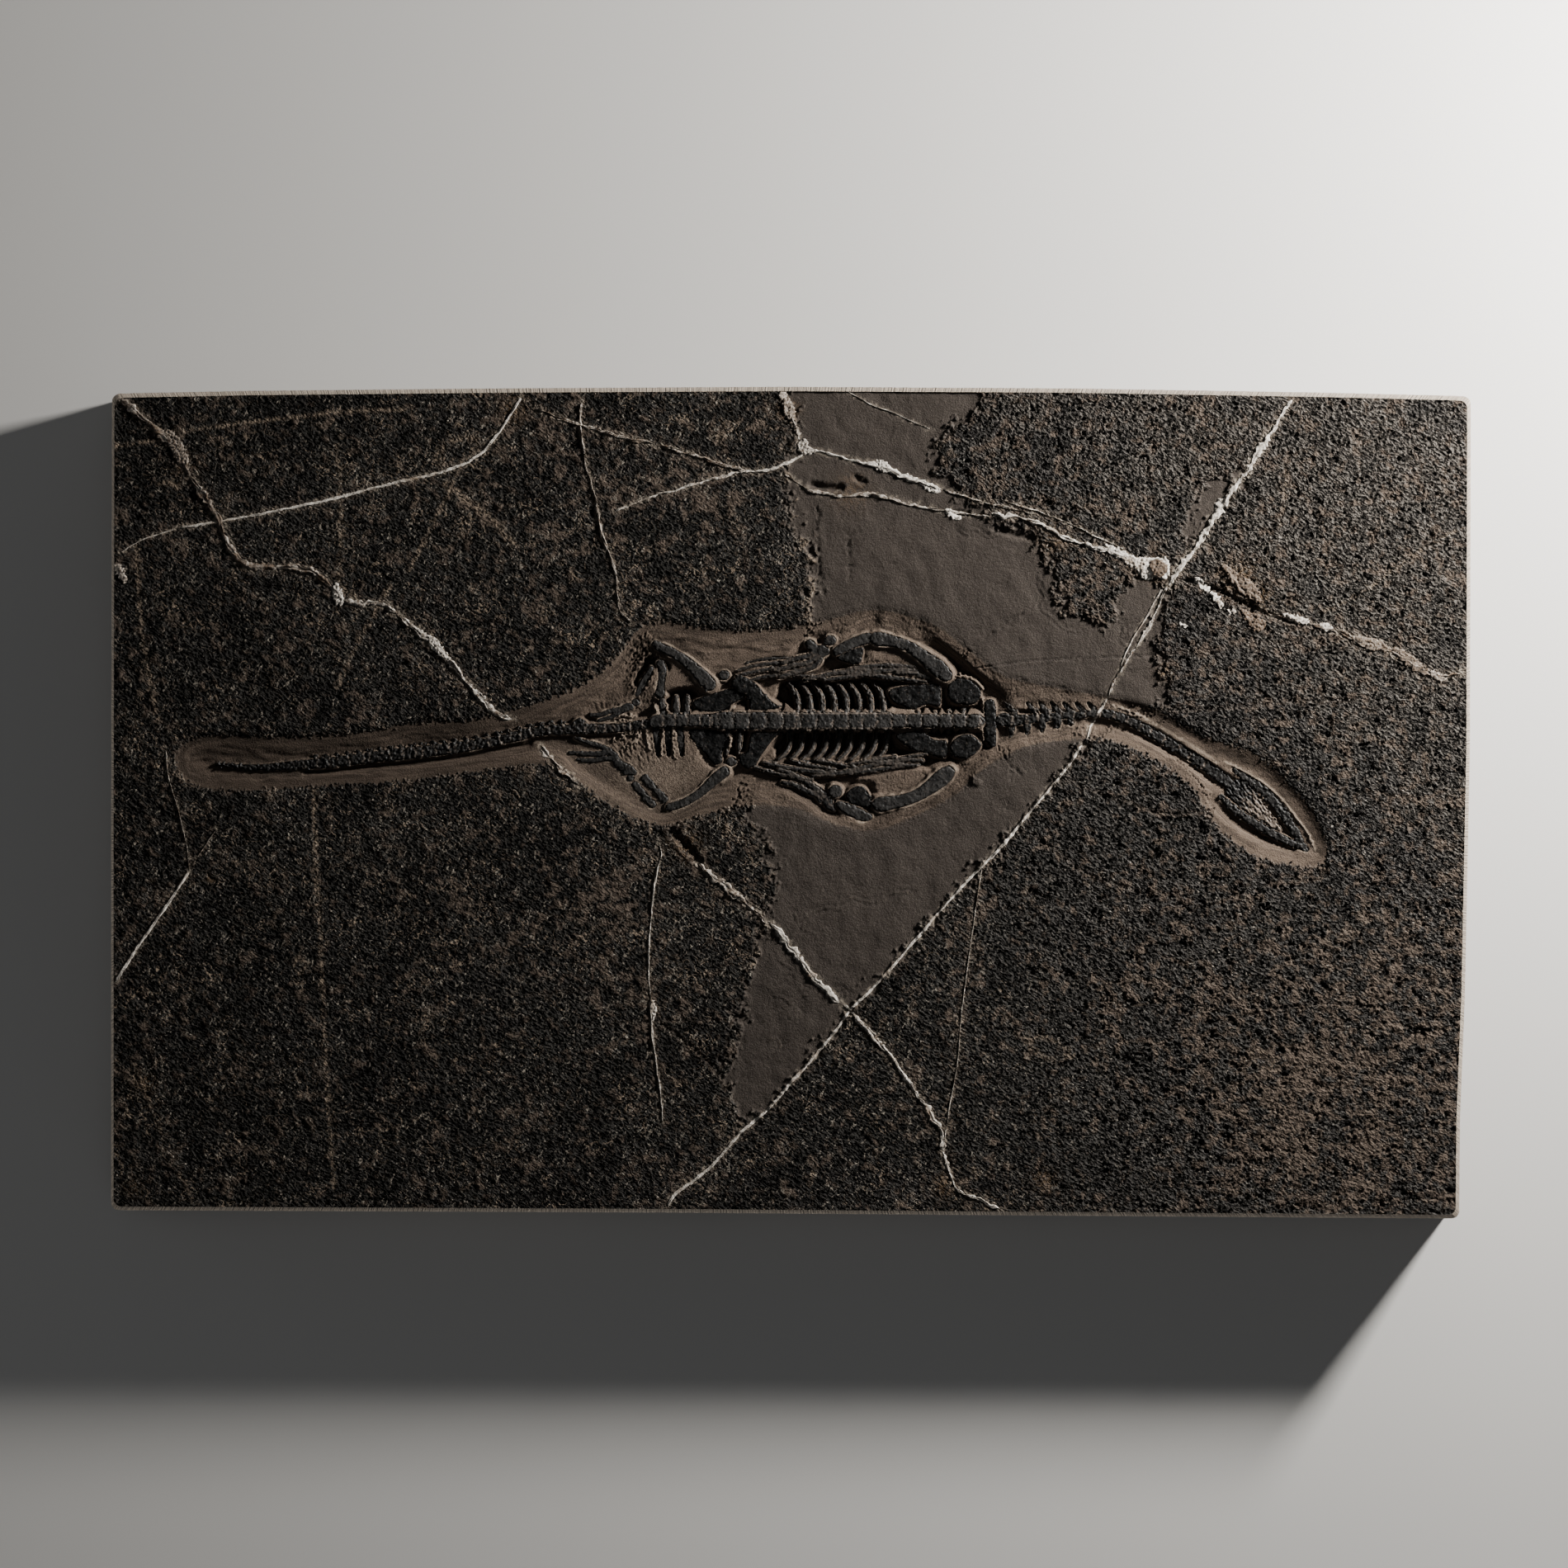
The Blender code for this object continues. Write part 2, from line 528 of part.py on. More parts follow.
def make_trunk(parts):
    bodies = [rod("trunk_core", trunk_path(), parts, flat=0.82)]
    bodies.append(rod("hip_core", [(*p, 2.0) for p in HIP_PATH] + [(880, 873.5, 7.5, 2.1)], parts))
    for index in range(UPPER_RIB_COUNT):
        path = upper_rib(UPPER_RIB_FIRST + index * RIB_PITCH)
        bodies.append(rod(f"upper_rib_{index}", path, parts, sides=6, flat=0.9))
    for index in range(LOWER_RIB_COUNT):
        path = lower_rib(LOWER_RIB_FIRST + index * RIB_PITCH)
        bodies.append(rod(f"lower_rib_{index}", path, parts, sides=6, flat=0.9))
    for x, dx in ((804, -3), (819, 0), (831, 2)):
        bodies.append(rod(f"hip_rib_up_{x}", stub(x, 870, dx, -26, 3.4), parts, sides=6))
    for x, dx in ((797, 2), (810, 0), (823, 2)):
        bodies.append(rod(f"hip_rib_down_{x}", stub(x, 877, dx, 38, 3.0), parts, sides=6))
    for x in (882, 897):
        bodies.append(rod(f"short_rib_{x}", stub(x, 880, -2, 34, 2.8), parts, sides=6))
    return fuse("trunk", bodies, parts)


def make_neck(parts):
    bodies = [rod("neck_core", NECK_PATH, parts)]
    for x in (1250, 1265, 1279, 1294, 1309, 1324):
        bodies.append(rod(f"neck_rib_up_{x}", stub(x + 3, 866, -9, -15, 2.6), parts, sides=6))
    for x, reach in ((1246, 17), (1262, 16), (1283, 12), (1299, 8)):
        bodies.append(rod(f"neck_rib_down_{x}", stub(x, 870, 2, reach, 3.6), parts, sides=6))
    return fuse("neck", bodies, parts)


def make_tail(parts):
    bodies = [rod("tail_core", TAIL_PATH, parts)]
    block = pebble("tail_block", BIG_CAUDAL, parts, height=0.0026)
    bodies.append(block)
    return fuse("tail", bodies, parts)


def make_bones(parts, bone, dark_bone):
    for name, path in LIMB_BONES.items():
        finish(rod(name, path, parts), bone)
    for name, outline in PLATE_BONES.items():
        x = place(*outline[0])[0]
        low = floor_height(x) + GAP
        plate = extruded_outline(name, outline, low, low + 0.0019, parts)
        finish(soften(plate, PLATE_BEVEL), bone)
    for name, shape in PEBBLE_BONES.items():
        finish(pebble(name, shape, parts), bone)
    for name, paths in FANS.items():
        bodies = []
        for index, path in enumerate(paths):
            bodies.append(rod(f"{name}_{index}", path, parts, sides=6, base=None))
        finish(fuse(name, bodies, parts), dark_bone)
    finish(make_trunk(parts), bone)
    finish(make_neck(parts), bone)
    finish(make_tail(parts), bone)
    low = FLOOR + GAP
    skull = extruded_outline("skull", SKULL_OUTLINE, low, low + 0.0026, parts)
    finish(soften(skull, PLATE_BEVEL), bone)
    jaw = [rod("jaw_left", JAW_LEFT, parts), rod("jaw_right", JAW_RIGHT, parts)]
    finish(fuse("lower_jaw", jaw, parts), dark_bone)


def main():
    for obj in list(bpy.data.objects):
        bpy.data.objects.remove(obj)
    parts = make_collection("fossil_keichousaurus")
    cutters = make_collection("cutters")
    stone = make_material("dark_limestone", (0.060, 0.052, 0.045), 0.85)
    bone = make_material("fossil_bone", (0.030, 0.028, 0.028), 0.45)
    dark_bone = make_material("thin_fossil_bone", (0.024, 0.022, 0.022), 0.5)
    make_slab(parts, cutters, stone)
    make_bones(parts, bone, dark_bone)


main()
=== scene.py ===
import math

import bpy
import numpy as np
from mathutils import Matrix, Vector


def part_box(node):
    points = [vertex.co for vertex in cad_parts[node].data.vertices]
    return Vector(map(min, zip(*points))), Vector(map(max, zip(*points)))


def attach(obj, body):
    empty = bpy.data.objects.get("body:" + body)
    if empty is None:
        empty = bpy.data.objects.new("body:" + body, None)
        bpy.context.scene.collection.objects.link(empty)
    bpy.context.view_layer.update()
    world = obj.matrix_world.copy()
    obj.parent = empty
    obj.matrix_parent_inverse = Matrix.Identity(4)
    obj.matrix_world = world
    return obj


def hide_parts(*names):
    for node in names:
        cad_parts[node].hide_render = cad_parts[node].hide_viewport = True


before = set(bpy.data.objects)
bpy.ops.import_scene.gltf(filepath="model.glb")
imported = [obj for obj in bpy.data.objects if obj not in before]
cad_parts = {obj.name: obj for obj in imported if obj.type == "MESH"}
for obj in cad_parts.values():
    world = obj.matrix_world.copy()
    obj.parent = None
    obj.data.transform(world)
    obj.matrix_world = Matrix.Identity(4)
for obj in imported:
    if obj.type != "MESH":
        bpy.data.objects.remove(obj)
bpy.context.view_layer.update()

# %% [markdown]
# # A small marine reptile in its slab of limestone
# The real object is a sawn slab of dark limestone. A preparator has carved a shallow trough into its
# top face and laid the skeleton bare in it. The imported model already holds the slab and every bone
# as plain solids. This lesson dresses them: each solid is replaced by a piece with the relief and
# the finish of the real thing, in the very same place.
#
# All the relief is worked out first, as height fields on one fine raster. After that the raster is
# laid over grids, a few pieces at a time. That order was chosen because stone, trough, cracks and
# bones all meet each other, and one shared raster makes them meet without gaps.

# %% Measures taken from the frame
SLAB_LOW, SLAB_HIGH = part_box("slab")
MM = 0.001
SLAB_LEFT_PX, SLAB_TOP_PX = 134, 476
SLAB_LENGTH_PX, SLAB_WIDTH_PX = 1649.0, 994.0
MIDDLE_PX = (958.5, 972.5)
PIXEL = (SLAB_HIGH[0] - SLAB_LOW[0]) / SLAB_LENGTH_PX
VEIN_RISE = 0.35 * MM
CRUST_LEVEL = SLAB_HIGH[2] - VEIN_RISE
print(f"one pixel of the photograph is {PIXEL / MM:.3f} mm, the crust lies at {CRUST_LEVEL / MM:.2f} mm")

# %% [markdown]
# ## The raster
# The raster has one sample for each pixel of the photograph, about 0.2 mm. Heights on it are in
# millimetres over the crust level, so the trough comes out negative. Working in pixels keeps every
# outline comparable with the photograph, and only the last step turns pixels into metres.

# %% The raster and its two coordinates
FAR_OFF = -99.0
LEFT, TOP = 124, 458
COLUMNS, ROWS = 1672, 1032
ACROSS, DOWN = np.meshgrid(np.arange(LEFT, LEFT + COLUMNS, dtype=np.float32),
                           np.arange(TOP, TOP + ROWS, dtype=np.float32))


def place(across, down):
    """Turns pixels of the photograph into x and y in metres."""
    return (across - MIDDLE_PX[0]) * PIXEL, (MIDDLE_PX[1] - down) * PIXEL


def blank(value=0.0):
    """A raster with one value everywhere."""
    return np.full((ROWS, COLUMNS), value, dtype=np.float32)


def blend(field, u, v):
    """The value of a field between its samples, from the four round each place."""
    column, row = u.astype(np.int32), v.astype(np.int32)
    u, v = u - column, v - row
    upper = field[row, column] * (1 - u) + field[row, column + 1] * u
    lower = field[row + 1, column] * (1 - u) + field[row + 1, column + 1] * u
    return upper * (1 - v) + lower * v


def read(field, across, down):
    """The value of a field at any pixel of the photograph."""
    u = np.clip(across - LEFT, 0, COLUMNS - 1.01)
    return blend(field, u, np.clip(down - TOP, 0, ROWS - 1.01))


# %% [markdown]
# ## Random relief with a chosen grain
# Rock needs noise whose lumps have a known size. One way is a noise texture, but its height can't
# be read back in code. Here white noise is filtered instead: its waves between two lengths are kept
# and the rest is dropped. A stretch makes the lumps longer along one direction.

# %% Noise, ramps and blurs
def grain(seed, fine, coarse, stretch=1.0, lean=0.0):
    """Random waves between two lengths in pixels, with mean 0 and spread 1."""
    spectrum = np.fft.rfft2(np.random.default_rng(seed).standard_normal((ROWS, COLUMNS)))
    right = np.fft.rfftfreq(COLUMNS)[None, :]
    down = np.fft.fftfreq(ROWS)[:, None]
    turn = math.radians(lean)
    along = right * math.cos(turn) - down * math.sin(turn)
    aside = right * math.sin(turn) + down * math.cos(turn)
    rate = np.hypot(along * stretch, aside)
    band = np.exp(-(rate * fine) ** 2) - np.exp(-(rate * coarse) ** 2)
    field = np.fft.irfft2(spectrum * band, s=(ROWS, COLUMNS))
    return (field / field.std()).astype(np.float32)


def blur(field, length):
    """Smooths a field with a soft round brush."""
    right = np.fft.rfftfreq(COLUMNS)[None, :]
    down = np.fft.fftfreq(ROWS)[:, None]
    soft = np.exp(-2.0 * (math.pi * length) ** 2 * (right ** 2 + down ** 2))
    waves = np.fft.rfft2(field.astype(np.float32)) * soft
    return np.fft.irfft2(waves, s=(ROWS, COLUMNS)).astype(np.float32)


def ramp(value, low, high):
    """0 up to low, 1 from high on, and an even S between them."""
    share = np.clip((value - low) / (high - low), 0.0, 1.0)
    return share * share * (3.0 - 2.0 * share)


def bump_at(distance, width):
    """A soft round bump: 1 at distance 0, fading over the width."""
    return np.exp(-(distance / width) ** 2)


# %% [markdown]
# ## Measuring against lines and outlines
# A drawn line has few points. It is rounded first, so that no corner shows. Then two
# questions are asked of every sample: how far inside a closed outline it lies, and how deep inside
# a rod, which is a line with a half width at each point.

# %% Rounded lines, outlines and rods
def rounded(points, closed=False, steps=5):
    """A smooth line through the given points, with the same columns as they have."""
    known = np.array(points, dtype=float)
    count = len(known)
    if closed:
        ring = np.concatenate([known[-1:], known, known[:2]])
    else:
        ring = np.concatenate([known[:1], known, known[-1:]])
    line = []
    for index in range(count if closed else count - 1):
        a, b, c, d = ring[index:index + 4]
        for t in np.arange(steps) / steps:
            bend = (2 * a - 5 * b + 4 * c - d) * t * t + (3 * b - a - 3 * c + d) * t ** 3
            line.append(0.5 * (2 * b + (c - a) * t + bend))
    if not closed:
        line.append(known[-1])
    return np.array(line)


def inside_depth(outline, across, down):
    """How many pixels a place lies inside a closed outline, negative outside it."""
    nearest = np.full(across.shape, 1e9, dtype=np.float32)
    inside = np.zeros(across.shape, dtype=bool)
    for (ax, ay), (bx, by) in zip(outline, np.roll(outline, -1, axis=0)):
        dx, dy = bx - ax, by - ay
        t = np.clip(((across - ax) * dx + (down - ay) * dy) / (dx * dx + dy * dy + 1e-9), 0, 1)
        nearest = np.minimum(nearest, (across - ax - t * dx) ** 2 + (down - ay - t * dy) ** 2)
        reach = dx * (down - ay) / (dy if abs(dy) > 1e-9 else 1e-9) + ax
        inside ^= ((ay > down) != (by > down)) & (across < reach)
    nearest = np.sqrt(nearest)
    return np.where(inside, nearest, -nearest)


def rod_depth(path, across, down):
    """How deep a place lies inside a rod, with the rod's half width and level there."""
    depth = np.full(across.shape, -1e9, dtype=np.float32)
    width = np.ones(across.shape, dtype=np.float32)
    level = np.zeros(across.shape, dtype=np.float32)
    for start, end in zip(path[:-1], path[1:]):
        dx, dy = end[0] - start[0], end[1] - start[1]
        t = np.clip(((across - start[0]) * dx + (down - start[1]) * dy) / (dx * dx + dy * dy + 1e-9), 0, 1)
        here = start[2] + t * (end[2] - start[2])
        found = here - np.hypot(across - start[0] - t * dx, down - start[1] - t * dy)
        better = found > depth
        depth = np.where(better, found, depth)
        width = np.where(better, here, width)
        if len(start) > 3:
            level = np.where(better, start[3] + t * (end[3] - start[3]), level)
    return depth, width, level


def outline_field(outline, step=3):
    """The inside depth of a large outline over the whole raster, measured on every third sample."""
    across, down = np.meshgrid(np.arange(LEFT, LEFT + COLUMNS + step, step, dtype=np.float32),
                               np.arange(TOP, TOP + ROWS + step, step, dtype=np.float32))
    coarse = inside_depth(rounded(outline, closed=True), across, down)
    return blend(coarse, (ACROSS - LEFT) / step, (DOWN - TOP) / step).astype(np.float32)


def window(points, margin):
    """The part of the raster round some points, as two slices."""
    spots = np.array([point[:2] for point in points])
    low = np.floor(spots.min(0) - margin).astype(int) - (LEFT, TOP)
    high = np.ceil(spots.max(0) + margin).astype(int) - (LEFT, TOP)
    low = np.maximum(low, 0)
    return slice(low[1], min(high[1], ROWS)), slice(low[0], min(high[0], COLUMNS))


# %% [markdown]
# ## Outlines of the stone
# These lists follow the photograph: the slab's edge, the trough, and the smooth patch where the
# grainy crust has flaked off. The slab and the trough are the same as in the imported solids, so the
# dressed stone covers the plain one.

# %% Slab, trough and patch
TOP_EDGE = [(134, 477), (148, 476), (300, 473), (600, 470), (950, 468), (1300, 470), (1600, 475),
            (1764, 479), (1783, 480)]
BOTTOM_EDGE = [(134, 1467), (820, 1470), (1200, 1473), (1754, 1477), (1783, 1477)]
LEFT_EDGE = [(135, 476), (134, 980), (134, 1467)]
RIGHT_EDGE = [(1783, 479), (1783, 500), (1782, 900), (1776, 1200), (1770, 1350), (1769, 1477)]
CORNER_RADIUS = 9.0

TROUGH_OUTLINE = [
    (214, 925), (226, 900), (265, 892), (330, 895), (430, 890), (500, 878), (580, 872), (650, 853),
    (710, 828), (745, 800), (772, 767), (800, 754), (880, 765), (960, 761), (1010, 750), (1064, 740),
    (1128, 757), (1165, 782), (1210, 817), (1250, 829), (1340, 845), (1400, 860), (1450, 891),
    (1515, 912), (1555, 944), (1590, 985), (1606, 1022), (1602, 1046), (1560, 1046), (1515, 1033),
    (1478, 1003), (1460, 974), (1436, 944), (1395, 917), (1345, 896), (1300, 895), (1240, 905),
    (1190, 932), (1160, 960), (1115, 985), (1062, 1005), (1020, 1000), (960, 978), (900, 976), (850, 987),
    (804, 1000), (760, 985), (715, 957), (670, 926), (600, 931), (480, 946), (380, 952), (285, 957),
    (232, 950),
]
PATCH_OUTLINE = [
    (968, 440), (965, 520), (952, 575), (965, 640), (985, 680), (984, 720), (975, 800), (900, 960),
    (920, 1010), (935, 1040), (940, 1080), (916, 1150), (898, 1230), (883, 1310), (896, 1352),
    (906, 1364), (962, 1308), (1032, 1223), (1102, 1148), (1172, 1068), (1237, 998), (1288, 938),
    (1312, 902), (1350, 878), (1408, 852), (1411, 830), (1403, 780), (1407, 745), (1418, 716),
    (1398, 700), (1378, 699), (1364, 714), (1352, 737), (1340, 757), (1314, 746), (1288, 735),
    (1275, 690), (1255, 652), (1200, 624), (1140, 572), (1132, 540), (1150, 516), (1182, 500),
    (1194, 440),
]
SMALL_PATCH = [(1466, 580), (1500, 574), (1494, 592), (1474, 620), (1456, 650), (1436, 652), (1438, 634),
               (1450, 606)]
trough = outline_field(TROUGH_OUTLINE)
patch = np.maximum(outline_field(PATCH_OUTLINE), outline_field(SMALL_PATCH))
print(f"trough {np.mean(trough > 0):.0%} of the raster, smooth patch {np.mean(patch > 0):.0%}")

# %% [markdown]
# ## Veins and cracks
# When the slab was still buried it broke, and white calcite healed the breaks. Each vein is a
# crest with a half width. The thin cracks never healed: they are only dark grooves. Both lists are
# read off the photograph, in pixels.

# %% Veins: half width, how far it stands proud in millimetres, how white it is, and its points
VEINS = {
    "long_diagonal_start": (2.4, 0.26, 0.85, [(1568, 480), (1558, 496), (1548, 512), (1535, 530)]),
    "long_diagonal_top": (4.4, 0.3, 0.85, [(1540, 522), (1528, 542), (1515, 565), (1490, 600),
        (1470, 630), (1455, 655), (1435, 680), (1424, 697), (1415, 709)]),
    "diagonal_gritty": (2.0, 0.2, 0.6, [(1415, 709), (1402, 739), (1385, 772), (1369, 794), (1358, 813),
        (1349, 830), (1343, 843)]),
    "long_diagonal_neck": (1.6, 0.12, 0.8, [(1343, 843), (1337, 855), (1330, 866), (1325, 875),
        (1321, 885), (1316, 897), (1310, 905)]),
    "long_diagonal_low": (2.2, 0.22, 0.86, [(1312, 902), (1300, 920), (1285, 940), (1260, 970),
        (1235, 1000), (1210, 1030), (1170, 1070), (1130, 1115), (1100, 1150), (1060, 1195), (1030, 1225),
        (1000, 1265), (960, 1310), (930, 1345), (900, 1370), (860, 1415), (820, 1445), (808, 1464)]),
    "diagonal_twin": (1.1, 0.15, 0.8, [(1410, 711), (1400, 728), (1391, 745), (1374, 772), (1363, 794),
        (1357, 812)]),
    "left_crossing": (2.1, 0.24, 0.95, [(633, 480), (620, 500), (600, 530), (575, 555), (540, 570),
        (500, 580), (450, 592), (400, 605), (330, 620), (265, 632), (215, 640)]),
    "left_crossing_end": (0.9, 0.12, 0.8, [(215, 640), (190, 648), (170, 655), (145, 670)]),
    "left_steps": (4.4, 0.28, 0.22, [(146, 482), (175, 508), (200, 530), (212, 540), (225, 566),
        (240, 590), (265, 630), (280, 664), (290, 680), (310, 688), (345, 687), (380, 693), (405, 715),
        (413, 725)]),
    "left_steps_low": (4.0, 0.26, 0.55, [(413, 725), (440, 731), (470, 735), (500, 760), (530, 785),
        (545, 802), (560, 820), (590, 855), (606, 866), (622, 872)]),
    "top_sweep": (2.2, 0.24, 0.32, [(650, 495), (690, 510), (720, 520), (780, 535), (830, 548),
        (880, 565), (905, 571)]),
    "middle_drop": (1.4, 0.22, 0.4, [(705, 485), (703, 510), (710, 560), (720, 600), (730, 650),
        (745, 690), (750, 735), (765, 755)]),
    "middle_rise": (1.8, 0.24, 0.85, [(745, 620), (780, 605), (830, 590), (890, 573), (930, 570),
        (965, 555), (980, 545)]),
    "patch_arch": (2.5, 0.40, 0.95, [(978, 546), (1000, 548), (1020, 555), (1060, 562), (1090, 575),
        (1115, 584), (1140, 592)]),
    "patch_arch_end": (1.2, 0.20, 0.5, [(1140, 592), (1165, 600), (1195, 609), (1225, 616), (1256, 624)]),
    "arch_stem": (1.6, 0.28, 0.5, [(950, 476), (958, 500), (965, 520), (970, 535), (980, 546)]),
    "patch_sweep": (2.0, 0.3, 0.55, [(950, 574), (972, 588), (988, 597), (1025, 600), (1060, 600),
        (1100, 610), (1150, 620), (1200, 625)]),
    "right_sweep": (2.8, 0.3, 0.78, [(1200, 622), (1240, 628), (1260, 635), (1300, 655), (1350, 670),
        (1380, 682), (1412, 694)]),
    "right_sweep_low": (1.0, 0.15, 0.6, [(1215, 606), (1240, 614), (1290, 632), (1340, 655),
        (1365, 668)]),
    "right_tail": (2.2, 0.20, 0.18, [(1528, 738), (1548, 747), (1580, 754), (1604, 760), (1622, 766)]),
    "right_tail_end": (4.2, 0.20, 0.10, [(1622, 766), (1650, 776), (1676, 783), (1700, 797), (1724, 812),
        (1742, 820), (1758, 818), (1772, 814)]),
    "crust_branch": (4.2, 0.26, 0.45, [(846, 1046), (862, 1062), (880, 1075), (910, 1100), (930, 1118)]),
    "patch_branch": (4.6, 0.34, 0.8, [(930, 1118), (944, 1130), (960, 1150), (975, 1170), (990, 1190),
        (1006, 1204), (1020, 1216)]),
    "low_branch": (3.2, 0.26, 0.75, [(1020, 1216), (1045, 1240), (1075, 1275), (1100, 1310), (1120, 1340),
        (1140, 1370), (1143, 1395)]),
    "low_branch_end": (2.0, 0.24, 0.8, [(1143, 1395), (1150, 1420), (1160, 1440), (1190, 1455),
        (1213, 1466)]),
    "low_splinter": (0.8, 0.12, 0.7, [(1190, 1050), (1184, 1090), (1178, 1130), (1165, 1230),
        (1160, 1290), (1150, 1345), (1144, 1388)]),
    "left_rise": (2.2, 0.26, 1.0, [(140, 1190), (165, 1150), (200, 1100), (230, 1055)]),
    "left_hook": (0.7, 0.1, 0.4, [(230, 1055), (225, 1020), (215, 980), (205, 945), (200, 905)]),
    "left_spur": (0.6, 0.1, 0.4, [(230, 1052), (245, 1030), (262, 1005)]),
    "left_drop": (1.1, 0.18, 0.8, [(798, 1020), (801, 1036), (795, 1060), (788, 1120), (786, 1170),
        (789, 1215), (792, 1270), (800, 1320), (803, 1360)]),
    "thin_sweep": (0.8, 0.1, 0.8, [(1020, 470), (1036, 479), (1056, 490), (1080, 499), (1104, 510),
        (1130, 521)]),
    "tail_band": (3.4, 0.16, 0.35, [(654, 903), (662, 914), (672, 925), (688, 938), (702, 952)]),
}

# %% Cracks: depth in millimetres, half width in pixels, and their points
CRACKS = [
    (0.22, 1.0, [(1180, 810), (1260, 800), (1380, 795), (1500, 783), (1620, 770)]),
    (0.30, 1.2, [(1410, 860), (1480, 858), (1560, 850), (1640, 848)]),
    (0.25, 1.1, [(1521, 775), (1526, 820), (1520, 870), (1528, 905), (1538, 922)]),
    (0.35, 1.3, [(1395, 984), (1430, 986), (1470, 981)]),
    (0.25, 1.2, [(1250, 1010), (1285, 1035), (1320, 1060), (1380, 1080)]),
    (0.20, 1.0, [(740, 1240), (800, 1237), (880, 1235)]),
    (0.20, 1.0, [(1223, 900), (1225, 940), (1221, 975), (1219, 1010)]),
    (0.10, 1.0, [(1043, 606), (1045, 625), (1048, 650)]),
    (0.30, 1.2, [(990, 612), (991, 650), (993, 690), (998, 720)]),
    (0.30, 1.2, [(1027, 640), (1029, 680), (1031, 705)]),
    (0.35, 1.3, [(800, 1240), (840, 1270), (870, 1300), (885, 1322)]),
    (0.25, 1.1, [(1400, 880), (1413, 870), (1430, 860)]),
    (0.25, 1.1, [(1485, 965), (1500, 953), (1515, 938)]),
    (0.28, 1.2, [(1168, 802), (1173, 790), (1205, 765), (1240, 742)]),
    (0.20, 1.0, [(640, 1206), (700, 1200), (740, 1196)]),
    (0.28, 1.2, [(1210, 905), (1222, 925), (1238, 938)]),
    (0.30, 1.1, [(1480, 1240), (1530, 1226), (1600, 1216), (1680, 1222)]),
    (0.25, 1.1, [(1410, 905), (1450, 945), (1470, 980)]),
    (0.22, 1.0, [(1280, 940), (1330, 960), (1400, 984)]),
]

# %% Pale dust in healed cracks of the crust: strength, half width in pixels, and the points
DUSTY_LINES = [
    (1.0, 1.3, [(138, 541), (165, 537), (195, 533)]),
    (0.9, 1.4, [(210, 523), (270, 516), (330, 508), (370, 504), (430, 498), (490, 496)]),
    (0.8, 1.3, [(408, 540), (412, 590), (413, 640), (411, 690), (412, 712)]),
    (1.0, 1.2, [(548, 585), (535, 612), (522, 640), (508, 668), (496, 692)]),
    (0.6, 1.2, [(560, 560), (548, 585)]),
    (0.9, 3.2, [(541, 586), (560, 602), (578, 616), (600, 634), (622, 660)]),
    (0.8, 1.6, [(474, 708), (455, 742), (437, 772), (420, 806), (408, 834)]),
    (0.7, 2.4, [(412, 712), (425, 720), (438, 732)]),
    (0.9, 1.2, [(165, 660), (170, 740), (180, 820), (190, 872)]),
    (0.8, 1.8, [(352, 1166), (364, 1160), (370, 1170), (362, 1180)]),
    (0.7, 1.4, [(163, 1290), (172, 1312), (184, 1345), (200, 1380)]),
    (0.7, 1.4, [(216, 1420), (226, 1440), (234, 1456)]),
    (1.0, 1.3, [(380, 945), (383, 1050), (388, 1120), (390, 1180), (395, 1300), (405, 1440)]),
    (0.9, 1.6, [(194, 586), (202, 584), (210, 587), (216, 592)]),
    (0.8, 2.2, [(530, 556), (540, 540), (556, 532), (574, 532)]),
    (0.9, 3.4, [(955, 572), (964, 606), (966, 640), (978, 664), (986, 690), (984, 724), (980, 760)]),
    (0.8, 2.6, [(1232, 704), (1250, 716), (1275, 738), (1300, 752), (1330, 762)]),
    (0.5, 1.2, [(1600, 742), (1640, 724), (1690, 690), (1740, 655), (1772, 640)]),
    (0.5, 1.0, [(1560, 560), (1556, 600), (1550, 640)]),
]

# %% Edges of thin flakes on the smooth patch: one line of points each
FLAKE_EDGES = [
    [(972, 1127), (974, 1115), (981, 1107), (1003, 1100), (1017, 1102), (1025, 1092), (1031, 1087),
        (1045, 1092), (1059, 1093), (1080, 1083), (1104, 1082)],
    [(961, 1105), (965, 1110), (964, 1115)],
    [(939, 1208), (948, 1208), (958, 1217), (961, 1212), (973, 1205), (977, 1196), (990, 1196)],
    [(944, 1165), (952, 1169), (960, 1175), (957, 1182), (951, 1188), (939, 1191)],
    [(958, 1240), (960, 1229), (967, 1224), (971, 1231), (968, 1243)],
    [(1013, 1199), (1021, 1198), (1026, 1205), (1024, 1212)],
    [(891, 1200), (899, 1186), (906, 1174), (915, 1163), (917, 1151), (925, 1139), (931, 1133)],
    [(1262, 690), (1258, 706), (1266, 722), (1262, 738), (1276, 748), (1290, 762), (1310, 766)],
    [(1160, 640), (1172, 648), (1180, 640), (1196, 650), (1214, 646)],
    [(1350, 746), (1362, 760), (1358, 776), (1372, 786)],
    [(930, 1262), (940, 1258), (946, 1268), (938, 1280)],
]

# %% Hollows beside the veins: depth, half width and points
HOLLOWS = [
    (0.75, 4.5, [(814, 1008), (828, 1022), (846, 1042)]),
    (0.80, 3.6, [(984, 587), (1002, 591), (1020, 590)]),
    (0.50, 3.0, [(1036, 578), (1046, 584)]),
    (0.60, 2.6, [(1156, 621), (1174, 622)]),
    (0.45, 3.2, [(1205, 640), (1228, 648), (1250, 652)]),
    (0.70, 2.6, [(1438, 703), (1470, 713), (1506, 731), (1542, 746), (1566, 754)]),
    (0.40, 3.0, [(1146, 1392), (1150, 1412)]),
]

